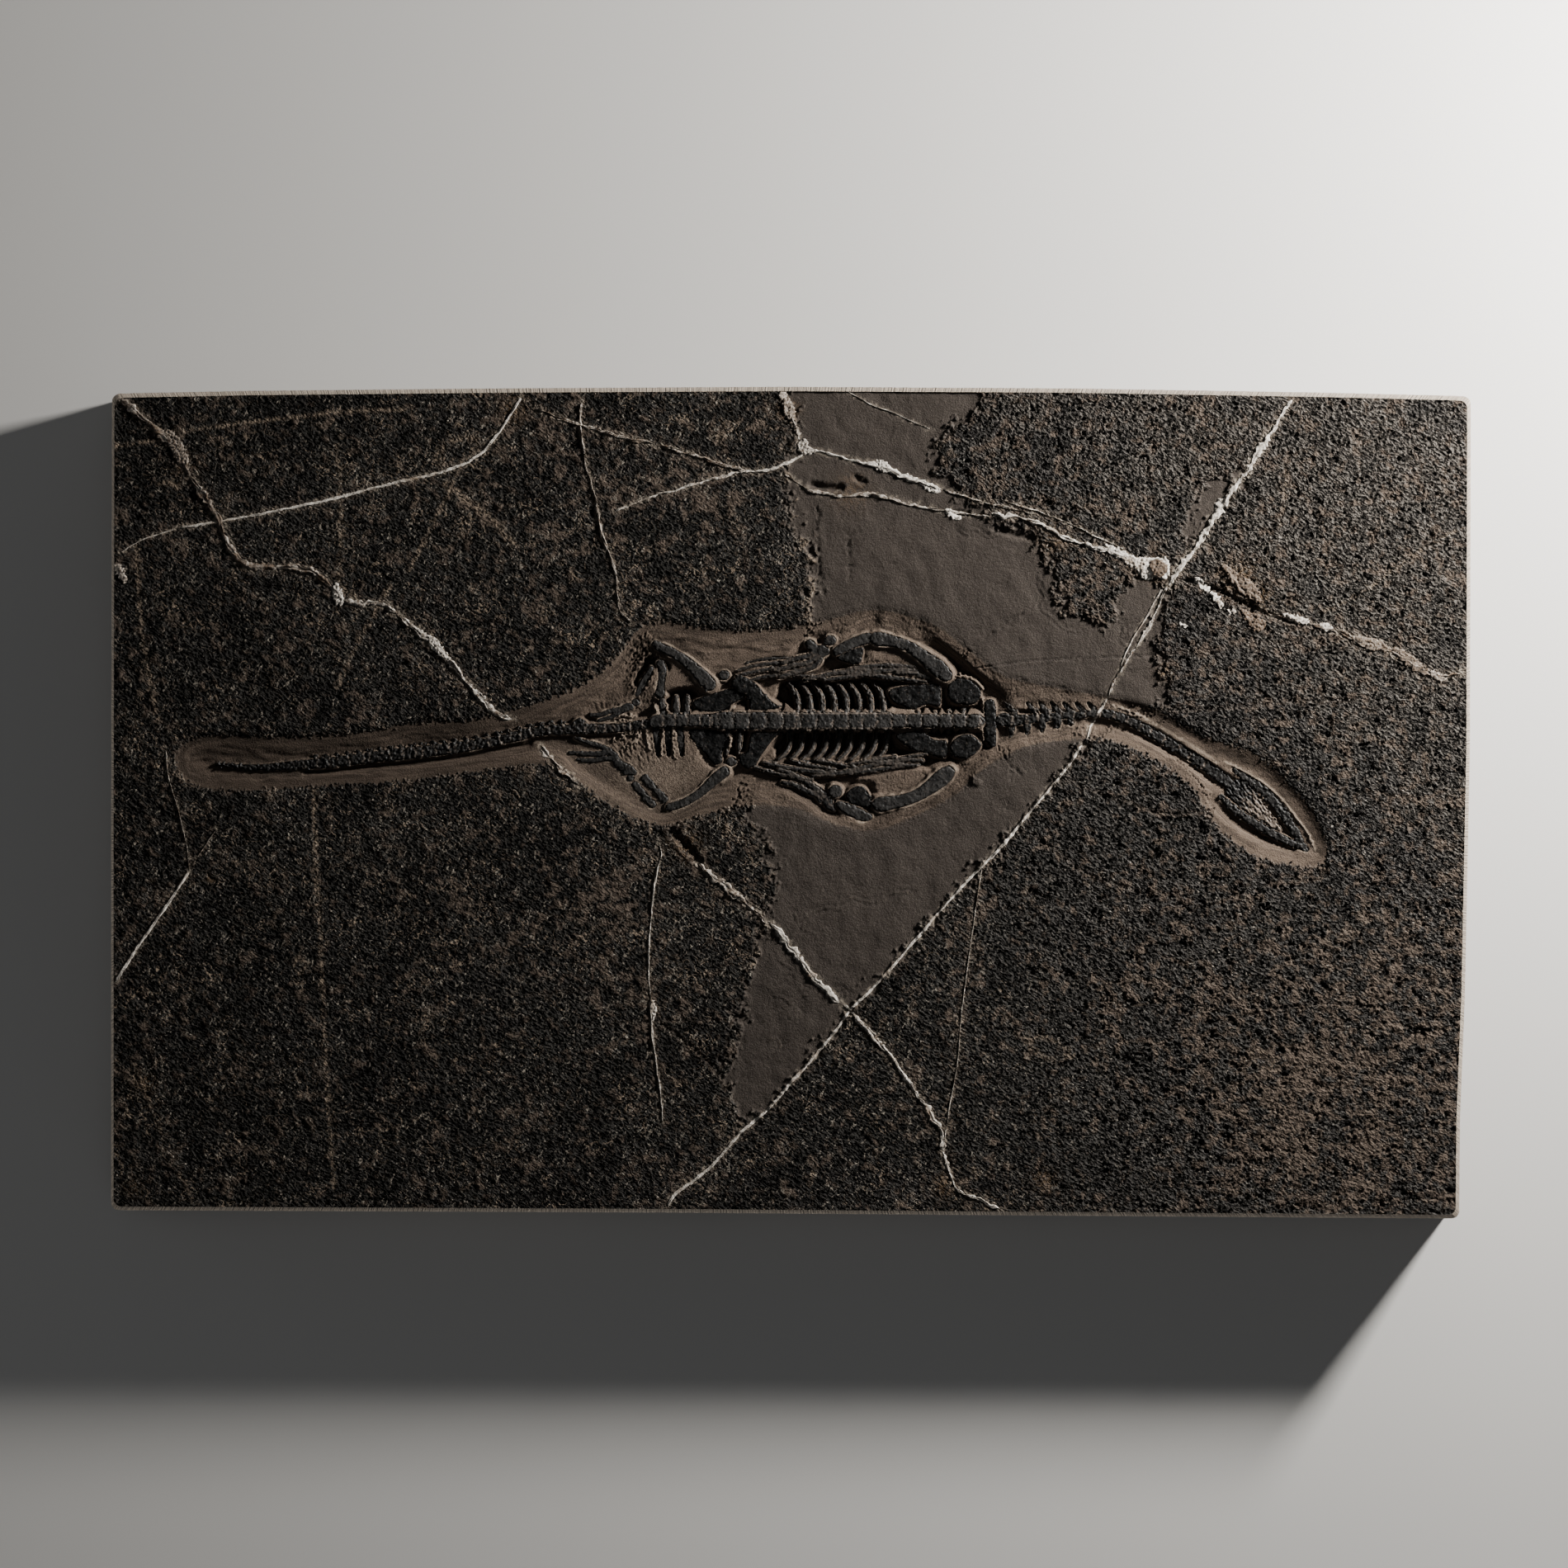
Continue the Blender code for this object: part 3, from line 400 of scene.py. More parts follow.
# %% Oval scars in the crust: middle, half sizes in pixels and tilt in degrees
SCARS = [
    (1271, 1271, 24, 11, 22), (333, 1406, 14, 7, 35), (278, 1392, 9, 6, 10), (1164, 1425, 20, 8, -12),
    (1530, 1285, 15, 8, 30), (556, 545, 26, 12, -28), (363, 1170, 6, 10, 0), (1183, 947, 7, 4, 30),
]

# %% Orange-brown stains: middle, size and strength
STAINS = [
    (1398, 690, 14, 0.9), (1500, 702, 20, 0.9), (1525, 722, 16, 0.7), (1142, 1438, 12, 0.7),
    (1265, 1430, 14, 0.5), (255, 1065, 5, 0.9), (832, 1024, 18, 0.6), (955, 496, 12, 0.8),
    (1410, 815, 10, 0.5), (620, 498, 16, 0.6), (176, 1315, 12, 0.6), (225, 565, 16, 0.35),
    (160, 1440, 12, 0.4), (1030, 596, 20, 0.5), (1280, 655, 20, 0.4),
]


def beside_line(points, margin, shake=(blank(), blank()), smooth=True):
    """The part of the raster round a line, and how far its shaken samples lie from the line."""
    part = window(points, margin)
    path = [(*point[:2], 0.0) for point in (rounded(points) if smooth else points)]
    return part, -rod_depth(path, ACROSS[part] + shake[0][part], DOWN[part] + shake[1][part])[0]


# %% [markdown]
# ## The crust
# The top bed of the slab is a thin, grainy crust, wrinkled like leather and full of small pits. It
# is built from noise of three sizes: broad plates, bumps and sand. Where the plates are worn
# away a paler stone shows: hardly any on the left, much at the bottom right. Soft spots given
# one by one steer how much.

# %% Where the crust is worn down to paler stone
PALE_SPOTS = [
    (1660, 1340, 170, 1.25), (1500, 1390, 110, 0.60), (1560, 1385, 45, 0.70), (1655, 1415, 45, 0.60),
    (1345, 1400, 95, -0.60), (1620, 1105, 70, -0.50), (1300, 1130, 60, -0.30), (1616, 1372, 15, -1.8),
    (1622, 1405, 15, -1.8), (1400, 1260, 40, -0.50), (1480, 1180, 170, 0.50), (1700, 1130, 130, 0.60),
    (1380, 1210, 60, 0.60), (1620, 900, 190, 0.30), (1560, 600, 220, 0.25), (1230, 560, 80, 0.65),
    (1330, 700, 70, 0.85), (1250, 1420, 90, 0.30), (735, 1100, 65, 1.10), (790, 1205, 45, 0.95),
    (560, 1085, 32, 0.95), (860, 1420, 60, 0.40), (700, 520, 90, 0.45), (905, 500, 45, 0.40),
    (835, 585, 50, 0.85), (760, 602, 34, 0.80), (655, 495, 30, 0.80), (680, 740, 60, 0.40),
    (600, 660, 110, 0.30), (250, 520, 60, 0.25), (870, 600, 50, 0.35), (610, 1330, 110, 0.15),
    (150, 1330, 40, 0.80), (170, 700, 60, 0.35), (590, 500, 30, 0.60), (1745, 640, 60, 0.40),
    (360, 760, 45, 0.50), (1330, 1240, 40, 0.50),
]
wear = blank(-1.55)
for spot_x, spot_y, size, amount in PALE_SPOTS:
    wear += amount * np.exp(-((ACROSS - spot_x) ** 2 + (DOWN - spot_y) ** 2) / (size * size))
print(f"wear runs from {wear.min():.2f} to {wear.max():.2f}")

# %% Leaves, bumps and pits
LEAN_RIGHT = -28
rounder = ramp(ACROSS - 0.25 * (DOWN - 600), 860, 1240)
top_right = ramp(ACROSS - 1.1 * (DOWN - 500), 950, 1400)
swing = grain(3, 40, 200)
plates = grain(5, 9, 44, stretch=1.3, lean=LEAN_RIGHT)
right_bumps = grain(6, 2.6, 8, stretch=1.4, lean=LEAN_RIGHT)
left_bumps = grain(7, 2.3, 6, stretch=1.6, lean=62)
bumps = right_bumps * rounder + left_bumps * (1 - rounder)
rough = grain(4, 2.4, 5)
pitting = grain(8, 2.5, 8, stretch=1.35, lean=LEAN_RIGHT)
pitting += 0.6 * grain(9, 12, 60, stretch=1.4, lean=LEAN_RIGHT)
pits = ramp(pitting - 0.10 * top_right, 1.10, 1.80)
skin = wear + 0.42 * swing + 0.58 * plates + 0.26 * bumps + 0.12 * rough + 0.45 * grain(11, 14, 60)
ground = ramp(skin, -0.62, -0.30)
liveliness = (1 - 0.6 * ground * (1 - top_right)) * (1 + 0.25 * grain(24, 12, 60))
bump_height = 0.040 + 0.042 * rounder + 0.056 * top_right
crust_relief = 0.045 * plates + bump_height * bumps * liveliness + 0.016 * rough
crust_relief += 0.08 * ramp(skin, -0.70, -0.45) * (1 - top_right) - pits * (0.10 + 0.60 * rounder)
crust_relief = np.clip(crust_relief, -0.85, 0.42)

# %% [markdown]
# ## Where the crust is missing
# The crust has flaked off over the smooth patch, along the rim of the trough and beside the veins.
# Its broken edge is ragged, so each distance is disturbed with noise before it is turned into a
# mask. On the patch the stone comes off in thin leaves, which leaves low scalloped steps.

# %% Masks for the patch, the rim and the vein beds
ragged = 3.0 * grain(12, 5, 16) + 1.2 * grain(13, 3, 6)
ragged_patch = patch + 1.2 * ragged + 5.0 * grain(14, 16, 60)
patch_mask = ramp(ragged_patch, -1.5, 1.5)
rim_mask = ramp(trough + 0.6 * ragged * (1 - patch_mask), -3.0, 0.0)

bed = blank(FAR_OFF)
for half_width, rise, white, points in VEINS.values():
    part, away = beside_line(points, 26)
    bed[part] = np.maximum(bed[part], half_width - away)
bed_mask = ramp(bed + 0.9 * ragged + 1.5 * grain(15, 12, 50), -4.0, -1.0)

crust_mask = (1 - patch_mask) * (1 - rim_mask)
print(f"crust left on {np.mean(crust_mask > 0.5):.0%} of the raster")

# %% The stone without its trough
CRUST_BASE, BARE_LEVEL, PATCH_LEVEL = -0.30, -0.42, -0.74
flakes = grain(16, 26, 90) + 0.35 * grain(17, 5, 18)
leaves = 0.14 * ramp(flakes, 0.20, 0.30) - 0.14 * ramp(-flakes, 0.95, 1.05)
sandy = 0.024 * grain(18, 2.0, 4) + 0.010 * grain(19, 5, 14)
stone = CRUST_BASE + crust_relief
stone = stone * (1 - 0.75 * bed_mask) + CRUST_BASE * 0.75 * bed_mask
bare = BARE_LEVEL + 0.5 * sandy
smooth = PATCH_LEVEL + leaves * 0.5 + sandy + 0.03 * grain(20, 30, 120)
stone = stone * (1 - rim_mask) + bare * rim_mask
stone = stone * (1 - patch_mask) + smooth * patch_mask
broken = blank()
for depth, half_width, points in CRACKS + HOLLOWS:
    part, away = beside_line(points, 5 * half_width + 4, (0.5 * ragged, 0.6 * bumps))
    stone[part] -= depth * bump_at(away, half_width)
    stone[part] += 0.10 * bump_at(away - 1.9 * half_width, 0.8 * half_width)
    broken[part] = np.maximum(broken[part], bump_at(away - 1.7 * half_width, 0.9 * half_width))

flake_rim = blank()
for points in FLAKE_EDGES:
    part, away = beside_line(points, 8, (0.3 * ragged, 0.3 * ragged))
    stone[part] += 0.09 * bump_at(away, 1.3) - 0.12 * bump_at(away - 2.6, 1.5)
    flake_rim[part] = np.maximum(flake_rim[part], bump_at(away, 1.2))

scar_rim = blank()
for middle_x, middle_y, half_x, half_y, tilt in SCARS:
    part = window([(middle_x - half_x, middle_y - half_x), (middle_x + half_x, middle_y + half_x)], 8)
    turn = math.radians(tilt)
    dx, dy = ACROSS[part] - middle_x, DOWN[part] - middle_y
    u = (dx * math.cos(turn) + dy * math.sin(turn)) / half_x
    v = (dy * math.cos(turn) - dx * math.sin(turn)) / half_y
    radius = np.hypot(u, v) + 0.05 * ragged[part]
    share = ramp(1 - radius, -0.10, 0.10)
    stone[part] = stone[part] * (1 - share) + (CRUST_BASE - 0.12 * (1 - radius)) * share
    rim = bump_at(radius - 1.06, 0.16)
    scar_rim[part] = np.maximum(scar_rim[part], rim)
    stone[part] += 0.09 * rim

# %% [markdown]
# ## The trough
# The preparator worked inwards from the rim: first a gentle bevel, then a broad wall. Only beside
# the shoulder is the wall steep. The floor is highest along the tail, and deepest on both sides of
# the backbone, where the ribs stand free. Thin layers in the stone show on the walls as fine steps
# that follow the rim.

# %% Depth of the floor along the trough
DEPTH_STOPS = [(214, 0.42), (300, 0.50), (600, 0.62), (700, 0.72), (780, 0.95), (1150, 1.0), (1230, 0.62),
               (1330, 0.46), (1450, 0.50), (1540, 0.56), (1606, 0.42)]
SHELF = 2.3
LAYER = 0.085
depth_share = np.interp(ACROSS[0], *zip(*DEPTH_STOPS))[None, :].astype(np.float32)
slope_down, slope_right = np.gradient(trough)
facing = blur(np.clip((slope_down - slope_right) / math.sqrt(2), -1, 1), 5)
far_wall = ramp(facing, 0.74, 0.96) * ramp(ACROSS, 1085, 1165) * (1 - ramp(ACROSS, 1200, 1240))
wall_width = 27 - 13 * far_wall + 6 * ramp(ACROSS, 1420, 1480)
bevel_width = 7 + 7 * far_wall
bevel = 0.30 * ramp(trough, -8, bevel_width) + 0.15 * far_wall * ramp(trough, 0, bevel_width)
wall = ramp(trough, bevel_width - 5, bevel_width - 5 + wall_width)
gentle = 0.50 * ramp(trough, -6, 46) + 0.50 * ramp(trough, 40, 64)
slope_down = blur(slope_down, 5)
north = ramp(slope_down, 0.45, 0.85) * (1 - far_wall) * ramp(ACROSS, 720, 780)
south = ramp(-slope_down, 0.45, 0.85) * ramp(ACROSS, 700, 760) * (1 - ramp(ACROSS, 1150, 1210))
wall = wall * (1 - north - south) + gentle * north + ramp(trough, -4, 46) * south
floor = -(SHELF + CRUST_BASE) * depth_share * wall - bevel
floor += 0.05 * grain(22, 8, 30, stretch=3, lean=5) * ramp(trough, 4, 14)
layer_number = floor / LAYER + 0.5 * grain(21, 30, 120) + 0.12 * grain(23, 6, 18)
whole = np.floor(layer_number)
stepped = whole + ramp(layer_number - whole, 0.45, 1.0)
floor += 0.9 * LAYER * (stepped - layer_number) * ramp(trough, -2, 3)

# %% Gutters beside the neck and round the head: depth, half width and points
GUTTERS = [
    (0.55, 4.5, [(1322, 877), (1340, 879), (1378, 890), (1400, 901), (1419, 912), (1442, 926),
        (1469, 946)]),
    (0.60, 5.5, [(1472, 972), (1484, 985), (1504, 1000), (1526, 1012), (1550, 1023), (1566, 1028)]),
    (0.28, 8.0, [(1362, 852), (1392, 864), (1419, 877), (1447, 894), (1474, 912), (1500, 920),
        (1527, 934), (1555, 955), (1576, 978), (1591, 1002), (1598, 1018)]),
    (0.60, 5.0, [(640, 901), (600, 909), (560, 915), (500, 923), (440, 929), (370, 936)]),
]
for depth, half_width, points in GUTTERS:
    part, away = beside_line(points, 3 * half_width)
    floor[part] -= depth * bump_at(away, half_width)

# %% Pockets between the ribs: depth in millimetres and outline
POCKETS = [
    (4.1, [(944, 836), (958, 826), (1020, 824), (1078, 826), (1096, 846), (1108, 864), (1080, 870),
        (948, 870)]),
    (4.1, [(942, 884), (1085, 884), (1105, 900), (1135, 916), (1120, 921), (1060, 915), (955, 917),
        (940, 908)]),
    (3.9, [(1136, 838), (1150, 842), (1160, 858), (1190, 852), (1192, 862), (1150, 866), (1112, 863),
        (1120, 854), (1136, 858)]),
    (3.8, [(1120, 882), (1150, 882), (1190, 880), (1198, 905), (1186, 900), (1168, 888), (1150, 890),
        (1130, 890)]),
    (3.6, [(880, 838), (900, 840), (908, 862), (878, 866), (872, 852)]),
    (3.7, [(872, 884), (914, 884), (912, 900), (900, 914), (880, 916), (872, 904)]),
    (3.2, [(800, 850), (812, 838), (838, 834), (846, 846), (838, 862), (806, 866)]),
    (2.9, [(1110, 822), (1138, 826), (1148, 836), (1110, 834), (1060, 828), (1040, 822)]),
    (2.9, [(1100, 918), (1150, 916), (1154, 928), (1132, 930), (1104, 926)]),
    (3.0, [(786, 796), (800, 800), (810, 806), (806, 812), (788, 808), (776, 830), (768, 826),
        (776, 808)]),
]

# %% Webs of stone left high between the bones, as negative depth and outline
WEBS = [
    (1.95, [(972, 782), (996, 774), (1018, 786), (1012, 804), (992, 810), (968, 818), (940, 824),
        (934, 816), (958, 804)]),
    (2.10, [(972, 944), (992, 952), (1012, 966), (1012, 984), (1000, 982), (984, 968), (956, 952),
        (946, 940)]),
    (1.02, [(1030, 806), (1046, 797), (1052, 782), (1070, 786), (1092, 792), (1108, 802), (1124, 816),
        (1108, 816), (1090, 806), (1060, 804)]),
    (1.14, [(1040, 944), (1076, 934), (1112, 930), (1136, 928), (1128, 944), (1108, 956), (1084, 966),
        (1062, 966), (1058, 950)]),
    (1.32, [(690, 908), (745, 900), (790, 886), (842, 884), (850, 918), (862, 932), (858, 950),
        (835, 972), (805, 985), (770, 972), (730, 948), (700, 930)]),
    (1.22, [(768, 812), (782, 792), (806, 778), (832, 790), (858, 812), (868, 830), (850, 838),
        (806, 838), (778, 846), (764, 836)]),
    (1.15, [(1045, 758), (1062, 752), (1062, 764), (1050, 768), (1030, 772), (1014, 778), (1014, 768)]),
]
for shapes, first, last in ((WEBS, -12.0, 7.0), (POCKETS, -4.0, 4.0)):
    for depth, outline in shapes:
        part = window(outline, 16)
        inside = inside_depth(rounded(outline, closed=True), ACROSS[part], DOWN[part])
        share = ramp(inside + 0.1 * ragged[part], first, last)
        floor[part] = floor[part] * (1 - share) - depth * share



def cloud_at(middle, reach):
    """A soft oval spot: 1 at its middle, fading over its reach across and down."""
    return np.exp(-((ACROSS - middle[0]) / reach[0]) ** 2 - ((DOWN - middle[1]) / reach[1]) ** 2)


hip = cloud_at((765, 888), (62, 40))
ridged = grain(61, 2.6, 9, stretch=3.2, lean=-62)
floor += 0.08 * hip * ridged
beside_head = ramp(facing, 0.2, 0.7) * ramp(ACROSS, 1310, 1390)
soft_edge = ramp(trough, -13, -1) * (1 - ramp(trough, -1, 3)) * beside_head
stone = stone * (1 - 0.9 * soft_edge) + BARE_LEVEL * 0.9 * soft_edge
rugged = cloud_at((777, 800), (17, 38)) * ramp(trough, -1, 5)
floor += 0.20 * rugged * grain(62, 3, 10, stretch=1.7, lean=70)
stone = np.where(trough > -8, stone + floor, stone)

# %% Thin prongs and crests of stone: level of the top, half width and points
CRESTS = [
    (-1.02, 1.5, [(1350, 856), (1378, 865.5), (1406, 881.5), (1434, 897.5), (1458, 912.5),
        (1474, 924.5)]),
    (-1.00, 1.4, [(1484, 923), (1497, 929), (1511, 936.5), (1530, 948), (1553, 968), (1571, 991),
        (1585, 1010), (1594, 1031)]),
    (-1.00, 1.3, [(888, 856), (882, 864), (876, 873)]),
    (-1.25, 1.4, [(797, 867), (794, 856)]),
    (-1.25, 1.4, [(804, 867), (807, 857)]),
    (-1.45, 1.6, [(776, 884), (770, 896), (758, 908)]),
    (-1.45, 1.8, [(784, 884), (784, 896), (787, 908)]),
    (-1.50, 1.2, [(771, 883), (757, 892), (742, 899)]),
    (-1.45, 1.0, [(764, 873), (750, 874), (733, 878)]),
    (-1.50, 1.1, [(768, 868), (752, 867), (736, 870)]),
    (-1.45, 1.3, [(803, 884), (802, 898), (799, 914)]),
    (-1.45, 1.3, [(816, 884), (816, 902), (818, 917)]),
    (-1.42, 0.9, [(1191, 847), (1192, 862), (1190, 880), (1192, 897)]),
    (-1.38, 1.0, [(1150, 826), (1158, 821), (1170, 820), (1182, 825), (1190, 834)]),
    (-1.15, 1.2, [(880, 885), (884, 894), (881, 905)]),
]
crest_mark = blank()
for level, half_width, points in CRESTS:
    part, away = beside_line(points, 12, (0.35 * ragged, 0.35 * ragged))
    crest = level - 0.30 * np.maximum(away - 0.5 * half_width, 0)
    stone[part] = np.where(trough[part] > 0, np.maximum(stone[part], crest), stone[part])
    crest_mark[part] = np.maximum(crest_mark[part], bump_at(away, half_width + 0.6))

# %% [markdown]
# ## The bones
# Every bone is a set of rods, plates or both. A rod is a list of points: pixel across, pixel down,
# half width in pixels and the level of its top in millimetres. The same numbers gave the packed
# solids their shape. The surface is round at the edges and almost flat on top, as fossil bone is
# after the rock has pressed on it.

# %% Limb bones as rods: the level of the top, then the points
LIMB_BONES = {
    "humerus_upper": (-0.90, [(1060, 773, 6), (1064, 774, 8), (1080, 776.5, 6.6), (1098, 782, 6),
        (1110, 789, 6.4), (1122, 798, 7.6), (1136, 809, 9.6), (1146, 818, 7.5)]),
    "humerus_lower": (-1.05, [(1063, 974, 6), (1068, 974.5, 8.5), (1086, 972, 7.4), (1103, 967.5, 7),
        (1118, 960, 7.6), (1131, 951, 9), (1142, 942, 10), (1149, 936, 7.5)]),
    "radius_upper": (-1.10, [(1054, 773, 5), (1049, 774, 6.5), (1036, 778, 6), (1023, 784, 6),
        (1014, 789, 5)]),
    "radius_lower": (-1.35, [(1016, 974, 3), (1022, 978, 5.5), (1034, 984, 6.5), (1045, 989, 6.5),
        (1053, 990, 4)]),
    "femur_upper": (-1.10, [(794, 780, 4), (800, 784, 5), (815, 791, 5.2), (829, 800, 5.6),
        (842, 811, 6.5), (852, 821.5, 8), (859, 829, 8)]),
    "femur_lower": (-1.20, [(811, 978, 4.4), (816, 977, 4.8), (830, 972, 4.8), (845, 963, 5),
        (857, 953, 5.6), (868, 942.5, 6.6), (877, 935.5, 6.4)]),
    "tibia_upper": (-1.65, [(800, 804, 4.5), (802, 812, 5.4), (801, 825, 4.2), (799, 840, 5.6)]),
    "tibia_lower": (-1.50, [(781, 943, 4.6), (788, 951, 4.4), (796, 959, 3.6), (804, 968, 5)]),
    "fibula_upper": (-1.75, [(789, 810, 3), (784, 819, 4), (777, 831, 4), (772, 841, 3)]),
    "fibula_lower": (-1.55, [(769, 951, 4), (775, 958, 4), (783, 967, 3.6), (790, 975, 4.6)]),
}

# %% Plates: the level of the top, then the outline
PLATE_BONES = {
    "coracoid_upper": (-1.85, [(1077, 838), (1092, 832), (1115, 830), (1137, 829), (1140, 843),
        (1138, 856), (1126, 853), (1116, 856), (1108, 860), (1100, 859), (1094, 855), (1083, 850)]),
    "coracoid_lower": (-1.75, [(1086, 891), (1100, 887), (1117, 887), (1124, 892), (1133, 897),
        (1146, 898), (1148, 908), (1145, 918), (1130, 915), (1110, 909), (1095, 901)]),
    "scapula_upper": (-1.45, [(1148, 836), (1153, 826), (1165, 822), (1180, 827), (1188, 837),
        (1187, 846), (1180, 853), (1165, 853), (1153, 849)]),
    "scapula_lower": (-1.45, [(1152, 903), (1159, 894), (1173, 890), (1183, 895), (1189, 902),
        (1184, 911), (1174, 918), (1161, 918), (1153, 912)]),
    "clavicle": (-1.35, [(1193, 851), (1204, 849), (1207, 866), (1207, 892), (1206, 905), (1196, 899),
        (1194, 876)]),
    "ulna_upper": (-1.25, [(1014, 798), (1021, 792), (1033, 787), (1045, 785), (1045, 794), (1041, 804),
        (1029, 803)]),
    "ulna_lower": (-1.45, [(1025, 963), (1033, 955), (1043, 953), (1051, 959), (1055, 970), (1055, 979),
        (1043, 977), (1030, 972)]),
    "pubis_upper": (-1.45, [(886, 828), (893, 819), (903, 821), (915, 828), (925, 840), (936, 851),
        (944, 857), (932, 860), (910, 860), (908, 850), (902, 842), (893, 838)]),
    "pubis_lower": (-1.45, [(911, 888), (930, 888), (943, 888), (935, 897), (927, 908), (920, 918),
        (914, 928), (903, 930), (896, 922), (897, 914), (906, 910)]),
    "ischium_upper": (-1.80, [(840, 850), (856, 843), (872, 838), (888, 834), (900, 835), (905, 841),
        (896, 848), (886, 854), (878, 861), (862, 863), (846, 860)]),
    "ischium_lower": (-1.65, [(834, 885), (848, 884), (864, 884), (876, 888), (880, 896), (877, 906),
        (874, 915), (875, 923), (867, 927), (859, 920), (851, 909), (841, 899)]),
}

# %% Small round bones: level, middle and half sizes
PEBBLE_BONES = {
    "ilium_upper": (-1.55, 877, 818, 6.5, 6.0),
    "ilium_lower": (-1.60, 886, 923, 6.0, 5.5),
    "wrist_bone_upper": (-1.15, 1006, 776, 7.0, 6.0),
    "wrist_bone_lower": (-1.35, 1012, 959, 8.0, 7.5),
    "ankle_bone_upper": (-1.80, 770, 851, 5.0, 4.5),
    "ankle_bone_lower": (-1.60, 763, 943, 4.5, 4.0),
}

# %% Hands, feet and belly ribs: the level, then one rod for each ray
FANS = {
    "hand_upper": (-1.25, [[(1001, 790, 4), (996, 789, 7), (989, 792, 8), (984, 796, 5)], [(990, 790, 4),
        (982, 781, 5.5), (979, 778, 3)], [(990, 796, 3), (976, 804, 3), (962, 806, 3.2), (950, 810, 2.6),
        (938, 812, 2)], [(994, 798, 3), (988, 806, 3.4), (974, 812, 3), (958, 816, 3), (944, 821, 2)],
        [(984, 794, 3), (970, 797, 3), (958, 800, 2.6), (948, 803, 2)]]),
    "hand_lower": (-1.65, [[(1006, 972, 3), (1000, 968, 6), (993, 962, 6.5), (988, 956, 4)],
        [(995, 962, 3), (983, 951, 3.4), (971, 944, 3), (958, 937, 3.2), (944, 932, 2)], [(997, 964, 3),
        (984, 961, 3.2), (972, 955, 3), (960, 950, 2.6), (948, 948, 2)], [(1000, 968, 3),
        (1003, 976, 3.4), (1010, 981, 2.4)]]),
    "foot_upper": (-1.55, [[(765, 857, 3), (760, 857, 5), (752, 861, 4), (744, 866, 2.5)], [(755, 860, 3),
        (742, 861, 2.6), (728, 866, 2.8), (716, 866, 2)], [(752, 862, 3), (740, 869, 2.6),
        (726, 873, 2)]]),
    "foot_lower": (-1.50, [[(767, 936, 4), (761, 933, 6), (752, 928, 6), (746, 923, 4)], [(752, 926, 3),
        (742, 919, 3.6), (728, 920, 3), (712, 922, 3), (700, 920, 2)], [(750, 925, 3), (740, 911, 3.4),
        (724, 914, 3), (706, 913, 2.8), (690, 912, 2)], [(742, 912, 3), (729, 905, 3), (716, 901, 2.6),
        (704, 897, 2), (697, 894, 1.6)]]),
    "gastralia_upper": (-1.55, [[(1128, 822, 1.6), (1104, 815, 2.6), (1062, 812, 2.8), (1020, 814, 2.6),
        (975, 824, 1.8)], [(1112, 812, 1.6), (1080, 811, 2.4), (1040, 818, 2.6), (1000, 824, 1.8)],
        [(1122, 826, 1.6), (1080, 821, 2.6), (1036, 815, 2.6), (1004, 816, 1.8)], [(1110, 808, 1.6),
        (1076, 806, 2.4), (1040, 809, 2.4), (1012, 817, 1.8)], [(982, 806, 1.4), (950, 803, 2.0),
        (918, 806, 2.0), (894, 812, 1.4)], [(976, 813, 1.4), (946, 809, 2.0), (914, 814, 2.0),
        (892, 819, 1.4)], [(960, 797, 1.4), (930, 798, 2.0), (904, 803, 1.4)], [(1000, 822, 1.4),
        (968, 818, 2.0), (930, 819, 2.0), (908, 825, 1.4)]]),
    "gastralia_lower": (-1.65, [[(925, 924, 1.8), (960, 931, 2.6), (1000, 936, 2.8), (1045, 935, 2.6),
        (1100, 927, 1.8)], [(1118, 921, 1.6), (1085, 922, 2.4), (1050, 929, 2.6), (1010, 938, 2.4),
        (985, 940, 1.8)], [(1045, 922, 1.6), (1070, 924, 2.4), (1095, 927, 2.4), (1112, 927, 1.8)],
        [(912, 928, 1.4), (935, 936, 2.0), (960, 941, 2.0), (984, 945, 1.4)], [(990, 921, 1.4),
        (1015, 926, 2.0), (1042, 931, 1.4)], [(960, 922, 1.4), (985, 928, 2.0), (1012, 932, 1.4)],
        [(1085, 917, 1.4), (1060, 921, 2.0), (1030, 926, 1.4)], [(1122, 914, 1.4), (1098, 918, 2.0),
        (1072, 924, 1.4)]]),
}

# %% Skull and jaw
SKULL_LEVEL = -1.30
SKULL_OUTLINE = [(1485, 958), (1491, 949), (1501, 944), (1511, 947), (1522, 960), (1536, 980),
                 (1552, 1003), (1550, 1007), (1537, 1000), (1517, 988), (1497, 973)]
JAW_LEVEL = -1.10
JAW_SIDES = [
    [(1479, 965, 2.4), (1485, 971, 3.8), (1500, 984, 4.2), (1520, 997, 4.5), (1540, 1009, 4.6),
        (1560, 1019, 4.4), (1576, 1026, 4.0), (1584, 1030, 2.6)],
    [(1495, 933, 2.4), (1509, 942, 4.2), (1526, 954, 5.4), (1540, 967, 6.0), (1554, 984, 5.8),
        (1566, 1002, 5.2), (1574, 1015, 4.6), (1580, 1027, 3.6)],
]

